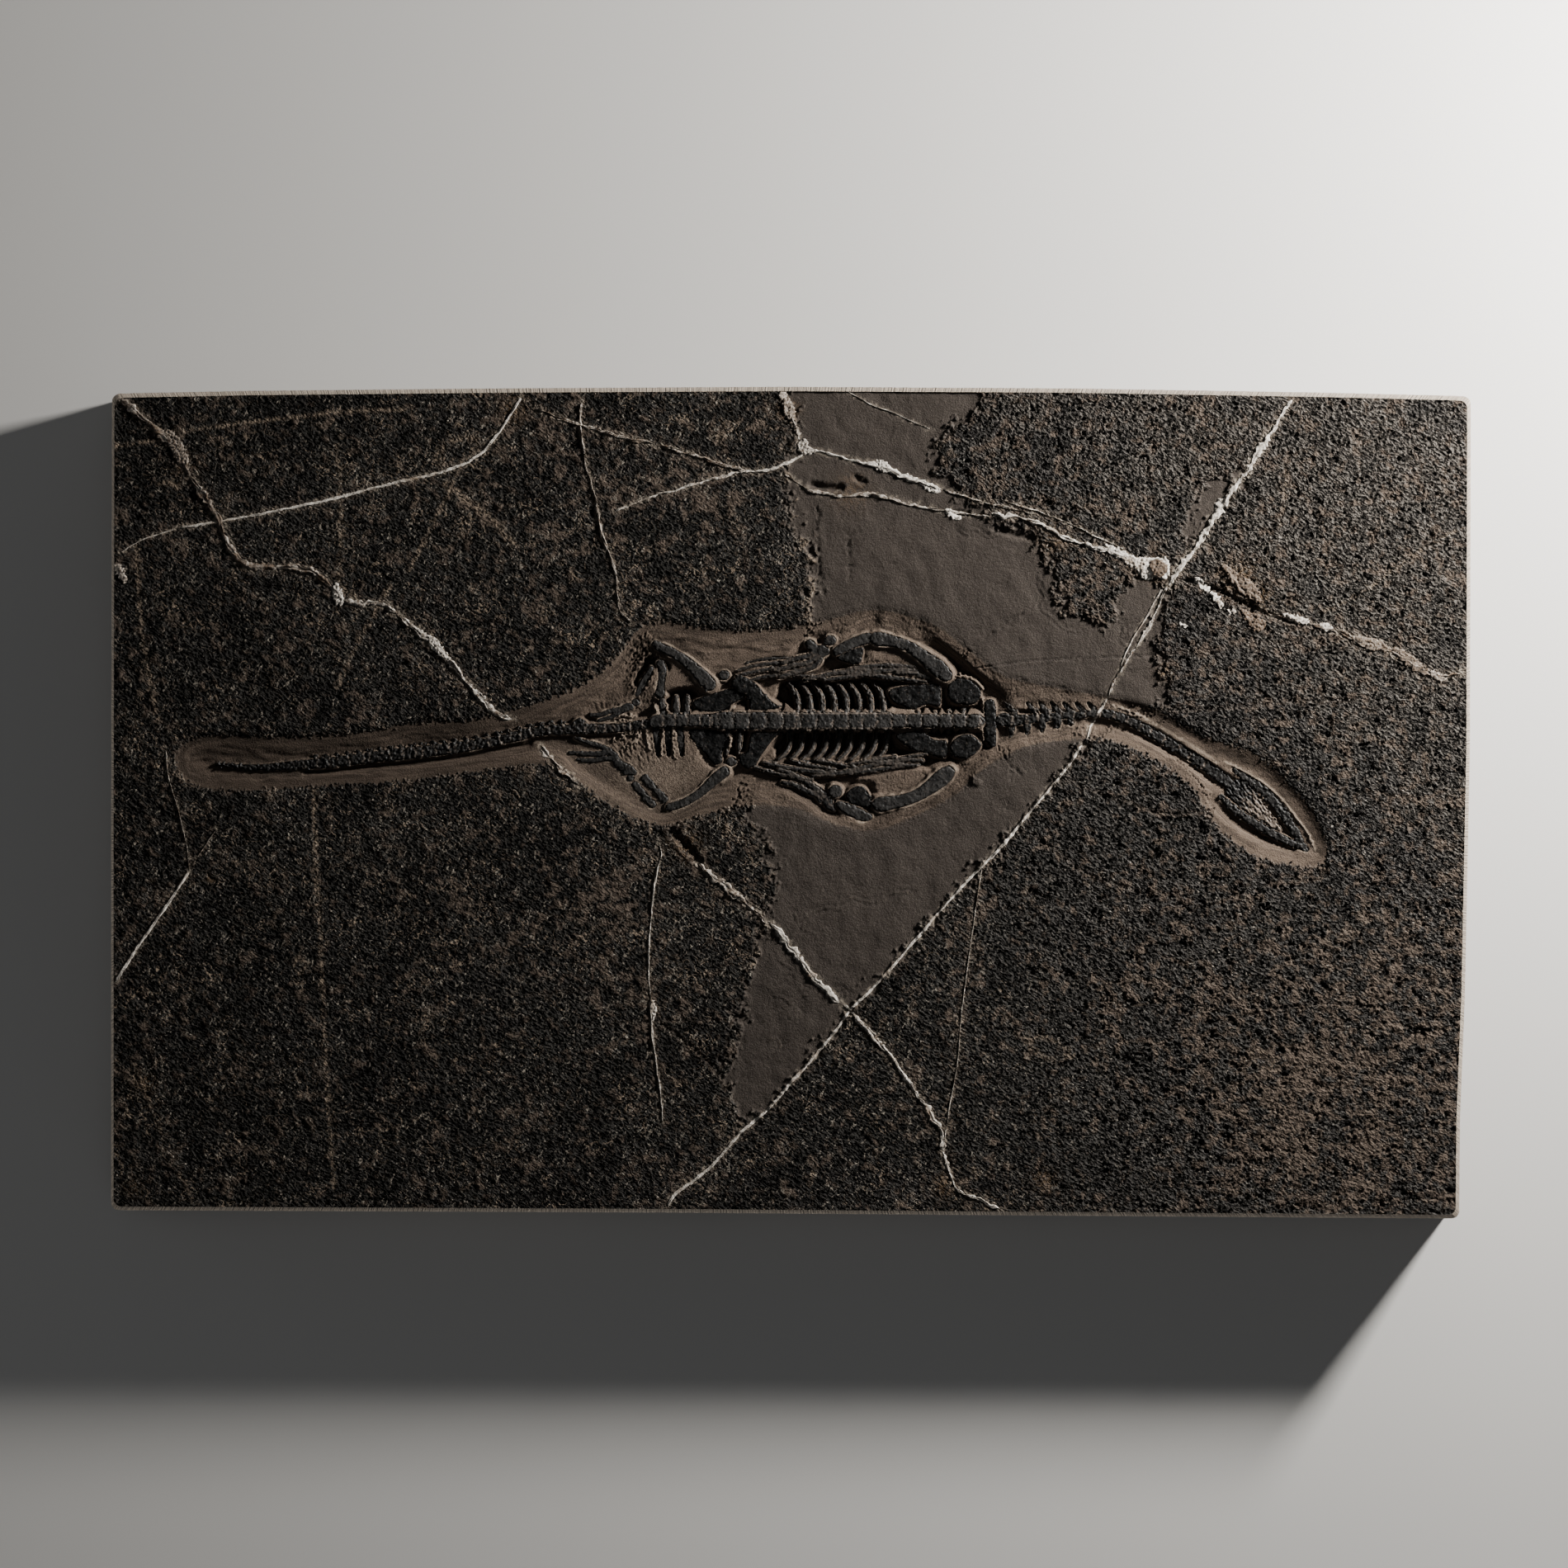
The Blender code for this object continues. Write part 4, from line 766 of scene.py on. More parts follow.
# %% Neck and tail: each point with its own level
NECK_PATH = [
    (1212, 872, 5, -1.3), (1216, 872, 7.5, -1.3), (1230, 873, 6.5, -1.3), (1248, 871, 4.8, -1.3),
    (1266, 870, 4.8, -1.25), (1284, 867, 4.2, -1.2), (1302, 867, 4.0, -1.2), (1320, 865, 4.0, -1.1),
    (1334, 864, 4.5, -1.1), (1350, 867, 5, -1.1), (1372, 875, 5.6, -1.1), (1400, 890.5, 5.8, -1.15),
    (1428, 906.5, 6, -1.2), (1452, 921.5, 6.4, -1.25), (1470, 934, 6.8, -1.3), (1484, 945, 7, -1.32),
    (1497, 955, 5, -1.35),
]
TAIL_PATH = [
    (264, 926, 1.6, -0.95), (310, 930, 3.2, -0.95), (360, 927, 5, -0.9), (400, 924, 6, -0.85),
    (440, 919, 6, -0.85), (480, 914, 7, -0.85), (520, 910, 6.5, -0.85), (560, 905, 6.5, -0.85),
    (600, 898, 5, -0.9), (630, 891, 6, -0.95), (655, 886, 5, -1.0), (690, 884, 5.5, -1.1),
    (722, 883, 5.5, -1.2), (750, 882, 5, -1.3), (784, 877, 5.5, -1.2),
]
BIG_CAUDAL = (-1.0, 702, 879, 9.0, 8.0)
HIP_PATH = [(791, 875, 5, -1.0), (797, 874, 7.5, -0.95), (818, 873, 7.5, -0.9), (845, 873, 7, -0.9),
            (862, 873, 7.5, -0.85), (880, 873.5, 7.5, -0.8)]

# %% [markdown]
# ## Backbone and ribs
# The trunk repeats itself, so its rods come from loops: centra that swell between narrower joints,
# ribs that lean back and sink, and short processes at the hip. The joints are listed because the
# real ones aren't evenly spaced.

# %% Rods of the trunk, the neck and the tail
COLUMN_ROW = 873.5
COLUMN_LEVEL = -0.72
TRUNK_JOINTS = [870, 889, 908, 929, 949, 970, 990, 1009, 1028, 1045, 1062, 1080, 1098, 1117, 1137, 1154,
                1171, 1188]
RIB_PITCH = 14.8
UPPER_RIB_ROOTS = [966.0 + RIB_PITCH * index for index in range(8)]
LOWER_RIB_ROOTS = [955.0 + RIB_PITCH * index for index in range(9)]
RIB_HALF_WIDTH = 2.4


def upper_rib(root):
    """A rib that leans towards the tail at its top and sinks to the floor."""
    return [(root, COLUMN_ROW - 7, 3.0, -1.6), (root + 1, COLUMN_ROW - 17, RIB_HALF_WIDTH, -1.75),
            (root, COLUMN_ROW - 28, RIB_HALF_WIDTH, -1.95), (root - 4, COLUMN_ROW - 37, 2.0, -2.2),
            (root - 10, COLUMN_ROW - 45, 1.4, -2.5)]


def lower_rib(root):
    """A rib that hooks back towards the tail at its lower end."""
    return [(root + 2, COLUMN_ROW + 8, RIB_HALF_WIDTH, -3.2),
            (root + 3, COLUMN_ROW + 18, RIB_HALF_WIDTH, -3.1), (root + 1, COLUMN_ROW + 30, 2.2, -2.75),
            (root - 4, COLUMN_ROW + 39, 1.9, -2.4), (root - 13, COLUMN_ROW + 47, 1.5, -2.15)]


def stub(across, down, right, below, half_width, level=-1.5):
    """A short process from the backbone, given by its root and its reach."""
    return [(across, down, half_width, level),
            (across + right * 0.6, down + below * 0.6, half_width, level - 0.15),
            (across + right, down + below, half_width * 0.6, level - 0.4)]


def trunk_rods():
    """The row of centra, the short processes beside it, and all the ribs."""
    core = []
    for start, end in zip(TRUNK_JOINTS[:-1], TRUNK_JOINTS[1:]):
        pitch = end - start
        straight = 1000 < start < 1110
        half_width = 10.6 if start < 1070 else 7.8
        dip = 0.05 if straight else 0.15
        core.append((start, COLUMN_ROW, half_width - (0.4 if straight else 0.9), COLUMN_LEVEL - dip))
        core.append((start + pitch * 0.25, COLUMN_ROW, half_width, COLUMN_LEVEL))
        core.append((start + pitch * 0.75, COLUMN_ROW, half_width, COLUMN_LEVEL))
    core.append((TRUNK_JOINTS[-1], COLUMN_ROW, 6.0, COLUMN_LEVEL - 0.3))
    rods = [core, HIP_PATH]
    for joint in TRUNK_JOINTS[1:-1]:
        if not 995 < joint < 1110:
            reach = 9.0 + joint % 4
            rods.append([(joint - 3, COLUMN_ROW - 5, 2.6, -1.0), (joint - 4, COLUMN_ROW - reach, 1.8, -1.3)])
            rods.append([(joint - 3, COLUMN_ROW + 5, 3.0, -1.0), (joint - 4, COLUMN_ROW + reach, 1.8, -1.6)])
    rods += [upper_rib(root) for root in UPPER_RIB_ROOTS]
    rods += [lower_rib(root) for root in LOWER_RIB_ROOTS]
    rods += [stub(root, 870, lean, -26, 3.8, -1.7) for root, lean in ((804, -3), (819, 0), (831, 2))]
    rods += [stub(root, 877, lean, 38, 4.0, -1.7) for root, lean in ((794, 3), (809, 1), (823, 3))]
    rods += [stub(root, 880, -2, 34, 2.8) for root in (882, 897)]
    return rods


def neck_rods():
    """The neck's row of vertebrae with its small ribs."""
    rods = [NECK_PATH]
    rods += [stub(root, 864, -11, -12, 3.2, -1.20) for root in (1230, 1256, 1271, 1285, 1300, 1315, 1330)]
    rods += [stub(root, 871, 0, reach, 3.9, -1.25)
             for root, reach in ((1226, 20), (1245, 18), (1263, 15), (1282, 10), (1298, 7))]
    return rods


def tail_rods():
    """The tail's row of vertebrae with a small process on each."""
    rods = [TAIL_PATH]
    for joint in range(386, 690, 13):
        middle = float(np.interp(joint, *zip(*[point[:2] for point in TAIL_PATH])))
        rods.append(stub(joint, middle - 3, -6, -6.5, 2.2, -0.95))
    return rods


# %% [markdown]
# ## One list of all the bones
# Each entry holds the rods and plates of one bone. Those of one bone grow together where they meet.

# %% Rods and plates of every bone
def levelled(path, level):
    """The path with the same level added to each of its points."""
    return [(*point, level) for point in path]


def oval(shape):
    """A round bone's outline from its middle and half sizes."""
    level, across, down, half_x, half_y = shape
    turns = np.linspace(0, 2 * math.pi, 14, endpoint=False)
    return [(across + half_x * math.cos(turn), down + half_y * math.sin(turn)) for turn in turns]


LIP_SCALE = {name: 0.45 for name in PLATE_BONES}
LIP_SCALE.update({"skull": 0.4, "trunk": 0.5})
LIP_SCALE.update(dict.fromkeys(("lower_jaw", "neck", "tail", "gastralia_upper", "gastralia_lower"), 0.6))
KNOBBLY_BONES = {"neck": 0.05, "tail": 0.07, "lower_jaw": 0.05, "skull": 0.04, "trunk": 0.015}
bones = {}
for name, (level, path) in LIMB_BONES.items():
    bones[name] = {"rods": [levelled(path, level)], "plates": []}
for name, (level, outline) in PLATE_BONES.items():
    bones[name] = {"rods": [], "plates": [(level, outline)]}
for name, shape in PEBBLE_BONES.items():
    bones[name] = {"rods": [], "plates": [(shape[0], oval(shape))]}
for name, (level, rays) in FANS.items():
    bones[name] = {"rods": [levelled(ray, level) for ray in rays], "plates": []}
bones["skull"] = {"rods": [], "plates": [(SKULL_LEVEL, SKULL_OUTLINE)]}
bones["lower_jaw"] = {"rods": [levelled(side, JAW_LEVEL) for side in JAW_SIDES], "plates": []}
bones["trunk"] = {"rods": trunk_rods(), "plates": []}
bones["neck"] = {"rods": neck_rods(), "plates": []}
bones["tail"] = {"rods": tail_rods(), "plates": [(BIG_CAUDAL[0], oval(BIG_CAUDAL))]}
print(f"{len(bones)} bones to dress")

# %% Height of a bone's surface
OUTER_FALL = 0.45
PLATE_ROUNDING = 2.4
PLATE_BREADTH = 5.0


def crown_height(half_width):
    """Wide bones stand a little rounder than thin ones."""
    return 0.19 + 0.014 * np.minimum(half_width, 9.0)


def dome(share):
    """0 at the edge, 1 at the middle, round near the edge and flat on top."""
    return np.sqrt(1.0 - (1.0 - np.clip(share, 0, 1)) ** 2.4)


def bone_surface(bone, across, down):
    """The surface of a bone in millimetres, the depth inside its outline and its half width."""
    height = np.full(across.shape, FAR_OFF, dtype=np.float32)
    depth = height
    breadth = np.full(across.shape, PLATE_BREADTH, dtype=np.float32)
    forms = []
    for rod in bone["rods"]:
        inside, half_width, level = rod_depth(rounded(rod, steps=3), across, down)
        edge_roll = np.minimum(half_width, 1.5 + 0.22 * half_width)
        forms.append((inside, half_width, level, edge_roll))
    for level, outline in bone["plates"]:
        inside = inside_depth(rounded(outline, closed=True, steps=3), across, down)
        forms.append((inside, PLATE_BREADTH, level, PLATE_ROUNDING))
    for inside, half_width, level, edge_roll in forms:
        crown = crown_height(half_width)
        shape = np.where(inside > 0, crown * dome(inside / edge_roll), OUTER_FALL * inside)
        height = np.maximum(height, level - crown + shape)
        breadth = np.where(inside > depth, half_width, breadth)
        depth = np.maximum(depth, inside)
    return height, depth, breadth


def bone_points(bone):
    """Every point that a bone is drawn with."""
    points = [point for rod in bone["rods"] for point in rod]
    return points + [point for level, outline in bone["plates"] for point in outline]


# %% [markdown]
# ## Bedding the bones in the stone
# Beside a bone the stone stays up as a thin pale lip, then falls away to the floor. Under the bone
# it is pushed down, so that it can't poke through. All lips come first and all the beds after them,
# or one bone's lip would cover its neighbour.

# %% Lips and beds
FALL_BREADTHS = (2.4, 3.6, 6.0, 9.0)
FALLS = (0.80, 0.45, 0.26, 0.20)
lip_chance = np.clip(grain(25, 12, 44), -1.5, 1.5)
lip = blank()
bone_top = blank(FAR_OFF)
beds = []
crowd = blank()
for name, bone in bones.items():
    part = window(bone_points(bone), 34)
    height, depth, breadth = bone_surface(bone, ACROSS[part], DOWN[part])
    away = np.maximum(-depth, 0)
    scale = LIP_SCALE.get(name, 1.0)
    lip_width = (0.9 + 0.13 * breadth) * (1 + 0.30 * lip_chance[part]) * scale
    fall = np.interp(breadth, FALL_BREADTHS, FALLS)
    edge_level = height + OUTER_FALL * away
    inward_down, inward_right = np.gradient(depth)
    lit_side = ramp(inward_down - inward_right, -0.4, 0.7)
    crest = edge_level + (0.08 + 0.24 * lit_side) * crown_height(breadth)
    collar = crest - fall * np.maximum(away - lip_width, 0) - 0.06 * ramp(1.0 - away, 0, 1)
    near = (depth < 0.3) & (away < 26)
    crowd[part] += ramp(-away, -4.5, -2.5)
    stone[part] = np.where(near, np.maximum(stone[part], collar), stone[part])
    crest_mask = bump_at(away - 0.5 * lip_width, 0.8 * lip_width) * (depth < 0.8)
    pale_share = np.clip(0.6 + 0.4 * lip_chance[part], 0, 1) * max(scale, 0.4)
    lip[part] = np.maximum(lip[part], crest_mask * pale_share)
    beds.append((part, height, depth))
for part, height, depth in beds:
    stone[part] = np.where(depth > 0.2, np.minimum(stone[part], height - 0.35), stone[part])
    bone_top[part] = np.where(depth > -0.5, np.maximum(bone_top[part], height), bone_top[part])
surface = np.maximum(stone, bone_top)
print(f"the deepest pocket lies {-stone.min():.1f} mm under the crust")

# %% [markdown]
# ## A piece from a relief
# Every stone and bone piece is made the same way, as by hand: a grid primitive is added, its points
# are lifted to the relief, the faces that aren't wanted are deleted in edit mode, the open rim is
# extruded down to a flat underside, and that is filled. The rim is marked sharp, so that the skirt
# doesn't darken the top. A flat map of the top is laid on as well.

# %% Grid, lift, trim, skirt and fill
CEILING = SLAB_HIGH[2] - 0.02 * MM
MAP_TOP_SHARE = 0.97


def fill_corners(keep):
    """Keeps one more cell wherever two kept cells touch only at a corner."""
    for _ in range(6):
        a, b, c, d = keep[:-1, :-1], keep[:-1, 1:], keep[1:, :-1], keep[1:, 1:]
        first = a & d & ~b & ~c
        second = b & c & ~a & ~d
        if not (first.any() or second.any()):
            break
        b |= first
        a |= second
    return keep


def crop(keep):
    """The smallest block of cells that holds all kept ones, and the block of their points."""
    rows, columns = np.flatnonzero(keep.any(axis=1)), np.flatnonzero(keep.any(axis=0))
    cells = (slice(rows[0], rows[-1] + 1), slice(columns[0], columns[-1] + 1))
    return cells, (slice(rows[0], rows[-1] + 2), slice(columns[0], columns[-1] + 2))


def fine_grid(points, margin, step):
    """The pixels of a grid round some points."""
    spots = np.array([point[:2] for point in points], dtype=float)
    low, high = spots.min(0) - margin, spots.max(0) + margin
    return np.meshgrid(np.arange(low[0], high[0], step), np.arange(low[1], high[1], step))


def property_of(items, key, size=1, kind=np.float32):
    """One property of a mesh's points, corners or faces as an array."""
    values = np.empty(len(items) * size, dtype=kind)
    items.foreach_get(key, values)
    return values.reshape(-1, size) if size > 1 else values


def add_grid(name, points):
    """A grid primitive with its points moved to the given places, row by row."""
    rows, columns = points.shape[:2]
    bpy.ops.object.select_all(action='DESELECT')
    bpy.ops.mesh.primitive_grid_add(x_subdivisions=columns - 1, y_subdivisions=rows - 1, size=1.0)
    piece = bpy.context.object
    piece.name = name
    piece.data.name = name
    piece.data.vertices.foreach_set("co", points.astype(np.float32).ravel())
    return piece


def select_rims():
    """In edit mode: selects the open edges and nothing else."""
    bpy.ops.mesh.select_mode(type='EDGE')
    bpy.ops.mesh.select_all(action='DESELECT')
    bpy.ops.mesh.select_non_manifold(extend=False, use_wire=False, use_boundary=True,
                                     use_multi_face=False, use_non_contiguous=False, use_verts=False)


def relief_piece(name, across, down, height, keep, base):
    """A closed piece: the relief on top, a straight skirt, and a flat underside at height base."""
    level = np.minimum(CRUST_LEVEL + height * MM, CEILING)
    piece = add_grid(name, np.stack([*place(across, down), level], axis=-1)[::-1])
    mesh = piece.data
    keep = fill_corners(keep[::-1].copy())
    first = property_of(mesh.polygons, "vertices", 4, np.int32).min(axis=1)
    columns = height.shape[1]
    unwanted = ~keep[first // columns, first % columns]
    mesh.vertices.foreach_set("select", np.zeros(len(mesh.vertices), dtype=bool))
    mesh.edges.foreach_set("select", np.zeros(len(mesh.edges), dtype=bool))
    mesh.polygons.foreach_set("select", unwanted)
    bpy.context.tool_settings.mesh_select_mode = (False, False, True)
    bpy.ops.object.mode_set(mode='EDIT')
    if unwanted.any():
        bpy.ops.mesh.delete(type='FACE')
    select_rims()
    bpy.ops.mesh.mark_sharp()
    bpy.ops.mesh.extrude_region_move(TRANSFORM_OT_translate={"value": (0, 0, -MM)})
    bpy.ops.transform.resize(value=(1, 1, 0), center_override=(0, 0, base))
    bpy.ops.mesh.edge_face_add()
    bpy.ops.mesh.select_all(action='SELECT')
    bpy.ops.mesh.faces_shade_smooth()
    bpy.ops.object.mode_set(mode='OBJECT')
    lay_map(piece, base)
    return piece


def lay_map(piece, base):
    """A flat map seen from above for the relief, with the skirt in a strip beside it."""
    mesh = piece.data
    points = property_of(mesh.vertices, "co", 3)
    spots = property_of(mesh.loops, "vertex_index", kind=np.int32)
    totals = property_of(mesh.polygons, "loop_total", kind=np.int32)
    owner = np.repeat(np.arange(len(totals)), totals)
    low = points[spots, 2] < base + 0.01 * MM
    hidden = np.bincount(owner, weights=low)[owner] > 0
    start = points[:, :2].min(0)
    span = points[:, :2].max(0) - start
    chart = (points[spots, :2] - start) / span.max()
    share = (points[spots, 1] - start[1]) / span[1]
    chart[:, 1] = chart[:, 1] * MAP_TOP_SHARE
    edge_share = 1.0 - (1.0 - MAP_TOP_SHARE) * (0.5 + 0.4 * (share - 0.5))
    chart[:, 1] = np.where(hidden, edge_share, chart[:, 1])
    mesh.uv_layers.new(name="OFBake")
    mesh.uv_layers["OFBake"].data.foreach_set("uv", chart.astype(np.float32).ravel())


def add_mask(piece, name, values, high=1):
    """Stores a mask on the points of a piece, for its material to read."""
    layer = piece.data.attributes.new(name, 'FLOAT', 'POINT')
    layer.data.foreach_set("value", np.clip(values, 0, high).astype(np.float32))


def pixels_of(piece):
    """The place of every point of a piece, in pixels of the photograph."""
    points = property_of(piece.data.vertices, "co", 3)
    return points[:, 0] / PIXEL + MIDDLE_PX[0], MIDDLE_PX[1] - points[:, 1] / PIXEL


# %% [markdown]
# ## Masks for the stone's colours
# Height alone doesn't say where the stone is pale. The masks below do: worn ground and flake edges
# in the crust, the smooth patch, the carved stone of the trough, the lips beside the bones, and a
# whitish bloom along the veins. The material mixes its colours by them.

# %% Colour masks on the raster
carved = ramp(trough + 0.5 * ragged * (1 - 0.7 * patch_mask), -2.5, 1.0)
dust_chance = ramp(grain(35, 5, 26), -1.2, 0.4)
pale = np.maximum(ground, 0.65 * broken * dust_chance)
dust = 0.6 * scar_rim * dust_chance
for strength, half_width, points in DUSTY_LINES:
    part, away = beside_line(points, 4 * half_width + 4, (0.5 * ragged, 0.5 * bumps))
    dust[part] = np.maximum(dust[part], strength * bump_at(away, half_width + 0.6) * dust_chance[part])
patch_rim = bump_at(ragged_patch + 2.5, 3.0) * ramp(grain(33, 8, 40), -0.6, 0.6)
pale = np.maximum(np.maximum(pale, 0.55 * bed_mask), 0.9 * patch_rim) * (1 - patch_mask) * (1 - rim_mask)
line_chance = ramp(grain(38, 5, 26), -0.9, 0.4)
thin_edges = np.maximum(0.75 * flake_rim, 0.45 * broken) * line_chance * (1 - carved)
pale = np.maximum(pale, thin_edges)
crowd = np.clip(crowd - 1, 0, 1)
# Painted shade: the colour is darkened in the crust's pits, in crevices of the carved trough and on the
# rugged spot, where shadow falls.
crevice_shade = ramp(blur(surface, 3.5) - stone, 0.16, 0.55) * carved
shaded = 1.5 * rugged * ramp(grain(63, 3, 12, stretch=1.7, lean=70), -0.8, 0.5)
pale_web = 0.5 * cloud_at((796, 932), (62, 42)) * ramp(grain(64, 4, 20), -0.9, 0.7)
painted_hollow_shade = np.maximum(np.maximum(pits * crust_mask, 0.75 * crevice_shade), np.clip(shaded, 0, 0.95))
bloom = ramp(bed + 0.5 * ragged, -2.5, 1.0) * ramp(grain(32, 6, 30), -0.9, 0.5)
stain = blank()
stain_chance = ramp(grain(36, 4, 16), -0.7, 0.9)
for middle_x, middle_y, size, strength in STAINS:
    part = window([(middle_x, middle_y)], 2.5 * size)
    spread = np.exp(-((ACROSS[part] - middle_x) ** 2 + (DOWN[part] - middle_y) ** 2) / (size * size))
    stain[part] = np.maximum(stain[part], strength * spread * stain_chance[part])
# Painted shade on the bank beside the head, which faces away from the lamp. The south wall of the trough is
# made darker too, and so is the carved stone towards the left.
head_bank_shade_and_dark_south_wall = 1.5 * beside_head * (1 - ramp(trough, 13, 19))
head_bank_shade_and_dark_south_wall = np.maximum(head_bank_shade_and_dark_south_wall, 0.8 * south * (1 - ramp(trough, 26, 44)))
calm_crest = ramp(ACROSS, 1140, 1150) * (1 - ramp(ACROSS, 1200, 1210))
pale_lip = np.maximum(lip * (1 - 0.9 * crowd), pale_web)
pale_lip = np.maximum(pale_lip, (0.9 - 0.4 * calm_crest) * crest_mark) * carved
STONE_MASKS = {
    "stain": stain,
    "pale": pale,
    "smooth": patch_mask * (1 - carved) * (1 - thin_edges),
    "carved": carved,
    "crust": crust_mask * (1 - carved),
    "knobbly": rounder,
    "grey": ramp(top_right + 0.25 * swing, 0.2, 1.1),
    "dusky": np.maximum(1 - ramp(ACROSS + 0.5 * ragged, 560, 800), head_bank_shade_and_dark_south_wall),
    "lip": pale_lip,
    "bloom": 0.45 * bloom,
    "painted_hollow_shade": painted_hollow_shade,
    "dust": dust * crust_mask,
}


# %% [markdown]
# ## The crust in plates
# One sheet would be too heavy, so the top of the slab is laid in thirteen plates. They part along
# the real veins and cracks, where a slab like this would break. The columns of the grid follow the
# slab's slightly bowed edges, and its corners are drawn in to round ones.

# %% The sawn edge and the grid of the crust
INSET = {"top": 5.8, "bottom": 5.0, "left": 3.5, "right": 5.0}
CRUST_STEP = 1.8


def edge_line(points, across_first):
    """Reads one coordinate of an edge of the slab from the other."""
    known = np.array(points, dtype=float)
    axis = 0 if across_first else 1
    return lambda value: np.interp(value, known[:, axis], known[:, 1 - axis])


top_of = edge_line(TOP_EDGE, True)
bottom_of = edge_line(BOTTOM_EDGE, True)
left_of = edge_line(LEFT_EDGE, False)
right_of = edge_line(RIGHT_EDGE, False)


def round_corners(across, down, low_x, high_x, low_y, high_y, radius):
    """Draws the square corners of a sheet in to quarter circles."""
    for corner_x, side_x in ((low_x, 1), (high_x, -1)):
        for corner_y, side_y in ((low_y, 1), (high_y, -1)):
            centre_x, centre_y = corner_x + side_x * radius, corner_y + side_y * radius
            dx, dy = across - centre_x, down - centre_y
            outside = (dx * side_x < 0) & (dy * side_y < 0)
            pull = np.maximum(abs(dx), abs(dy)) / np.maximum(np.hypot(dx, dy), 1e-6)
            across = np.where(outside, centre_x + dx * pull, across)
            down = np.where(outside, centre_y + dy * pull, down)
    return across, down


def slab_sheet(u, v, inset):
    """Pixels for shares u across and v down of the slab, inside its edges by an inset."""
    straight_x = SLAB_LEFT_PX + u * SLAB_LENGTH_PX
    straight_y = SLAB_TOP_PX + v * SLAB_WIDTH_PX
    left, right = left_of(straight_y) + inset["left"], right_of(straight_y) - inset["right"]
    top, bottom = top_of(straight_x) + inset["top"], bottom_of(straight_x) - inset["bottom"]
    across = left * (1 - u) + right * u
    down = top * (1 - v) + bottom * v
    return round_corners(across, down, left, right, top, bottom, CORNER_RADIUS)


columns = round((SLAB_LENGTH_PX - 9) / CRUST_STEP)
rows = round((SLAB_WIDTH_PX - 4) / CRUST_STEP)
share_u, share_v = np.meshgrid(np.linspace(0, 1, columns + 1), np.linspace(0, 1, rows + 1))
crust_across, crust_down = slab_sheet(share_u, share_v, INSET)
crust_height = read(surface, crust_across, crust_down)
in_trough = read(trough, crust_across, crust_down)
crust_height -= 0.06 * ramp(in_trough, -6.0, -4.0)
print(f"the crust grid has {columns} by {rows} cells")

# %% Where the plates part
UPPER_SPLITS = {
    "left_steps": [(145, 470), (212, 540), (265, 630), (305, 686), (380, 693), (412, 726), (475, 737),
        (530, 785), (590, 855), (618, 872), (620, 940)],
    "middle_drop": [(704, 470), (703, 510), (710, 560), (745, 690), (768, 756), (770, 940)],
    "patch_left": [(966, 470), (965, 520), (952, 575), (965, 640), (985, 680), (984, 720), (978, 940)],
    "patch_right": [(1190, 470), (1182, 500), (1150, 516), (1132, 540), (1140, 572), (1200, 625),
        (1255, 652), (1275, 690), (1288, 735), (1345, 750), (1398, 756), (1412, 800), (1414, 1040)],
    "long_diagonal": [(1575, 470), (1535, 530), (1490, 600), (1455, 655), (1425, 700), (1412, 745),
        (1412, 800), (1414, 1040)],
}
LOWER_SPLITS = {
    "left_fade": [(380, 900), (383, 1050), (390, 1180), (395, 1300), (405, 1480)],
    "left_drop": [(800, 900), (795, 1060), (788, 1120), (791, 1225), (793, 1360), (790, 1480)],
    "patch_edge": [(880, 900), (905, 985), (932, 1030), (938, 1080), (925, 1110), (905, 1180),
        (885, 1280), (883, 1310), (898, 1368), (860, 1415), (818, 1447), (808, 1480)],
    "long_diagonal": [(1330, 860), (1322, 890), (1285, 940), (1235, 1000), (1170, 1070), (1100, 1150),
        (1030, 1225), (960, 1310), (903, 1369), (862, 1416), (819, 1448), (809, 1480)],
    "low_splinter": [(1335, 860), (1328, 890), (1290, 940), (1240, 1000), (1195, 1050), (1180, 1130),
        (1165, 1230), (1160, 1290), (1143, 1395), (1165, 1440), (1212, 1480)],
    "right_fade": [(1470, 860), (1475, 983), (1482, 1100), (1500, 1250), (1490, 1480)],
}
TROUGH_MIDDLE = [(120, 930), (214, 930), (600, 905), (700, 890), (760, 880), (1180, 875), (1330, 866),
                 (1400, 888), (1480, 948), (1560, 1012), (1606, 1030), (1800, 1030)]
PLATE_NAMES = [
    ["crust_left_top", "crust_tail_side", "crust_top_middle", "smooth_patch_top", "crust_peninsula",
     "crust_right_top"],
    ["crust_left_low", "crust_low_middle", "crust_patch_side", "smooth_patch_low", "crust_wedge",
     "crust_right_low", "crust_corner"],
]


def plate_labels(across, down):
    """A number for each cell: which plate it belongs to."""
    low_half = down > np.interp(across, *zip(*TROUGH_MIDDLE))
    labels = np.zeros(across.shape, dtype=int)
    halves = ((UPPER_SPLITS, ~low_half, 0), (LOWER_SPLITS, low_half, len(PLATE_NAMES[0])))
    for splits, half, first in halves:
        number = np.full(across.shape, first)
        for points in splits.values():
            line = np.array(points, dtype=float)
            number += across > np.interp(down, line[:, 1], line[:, 0])
        labels = np.where(half, number, labels)
    return labels


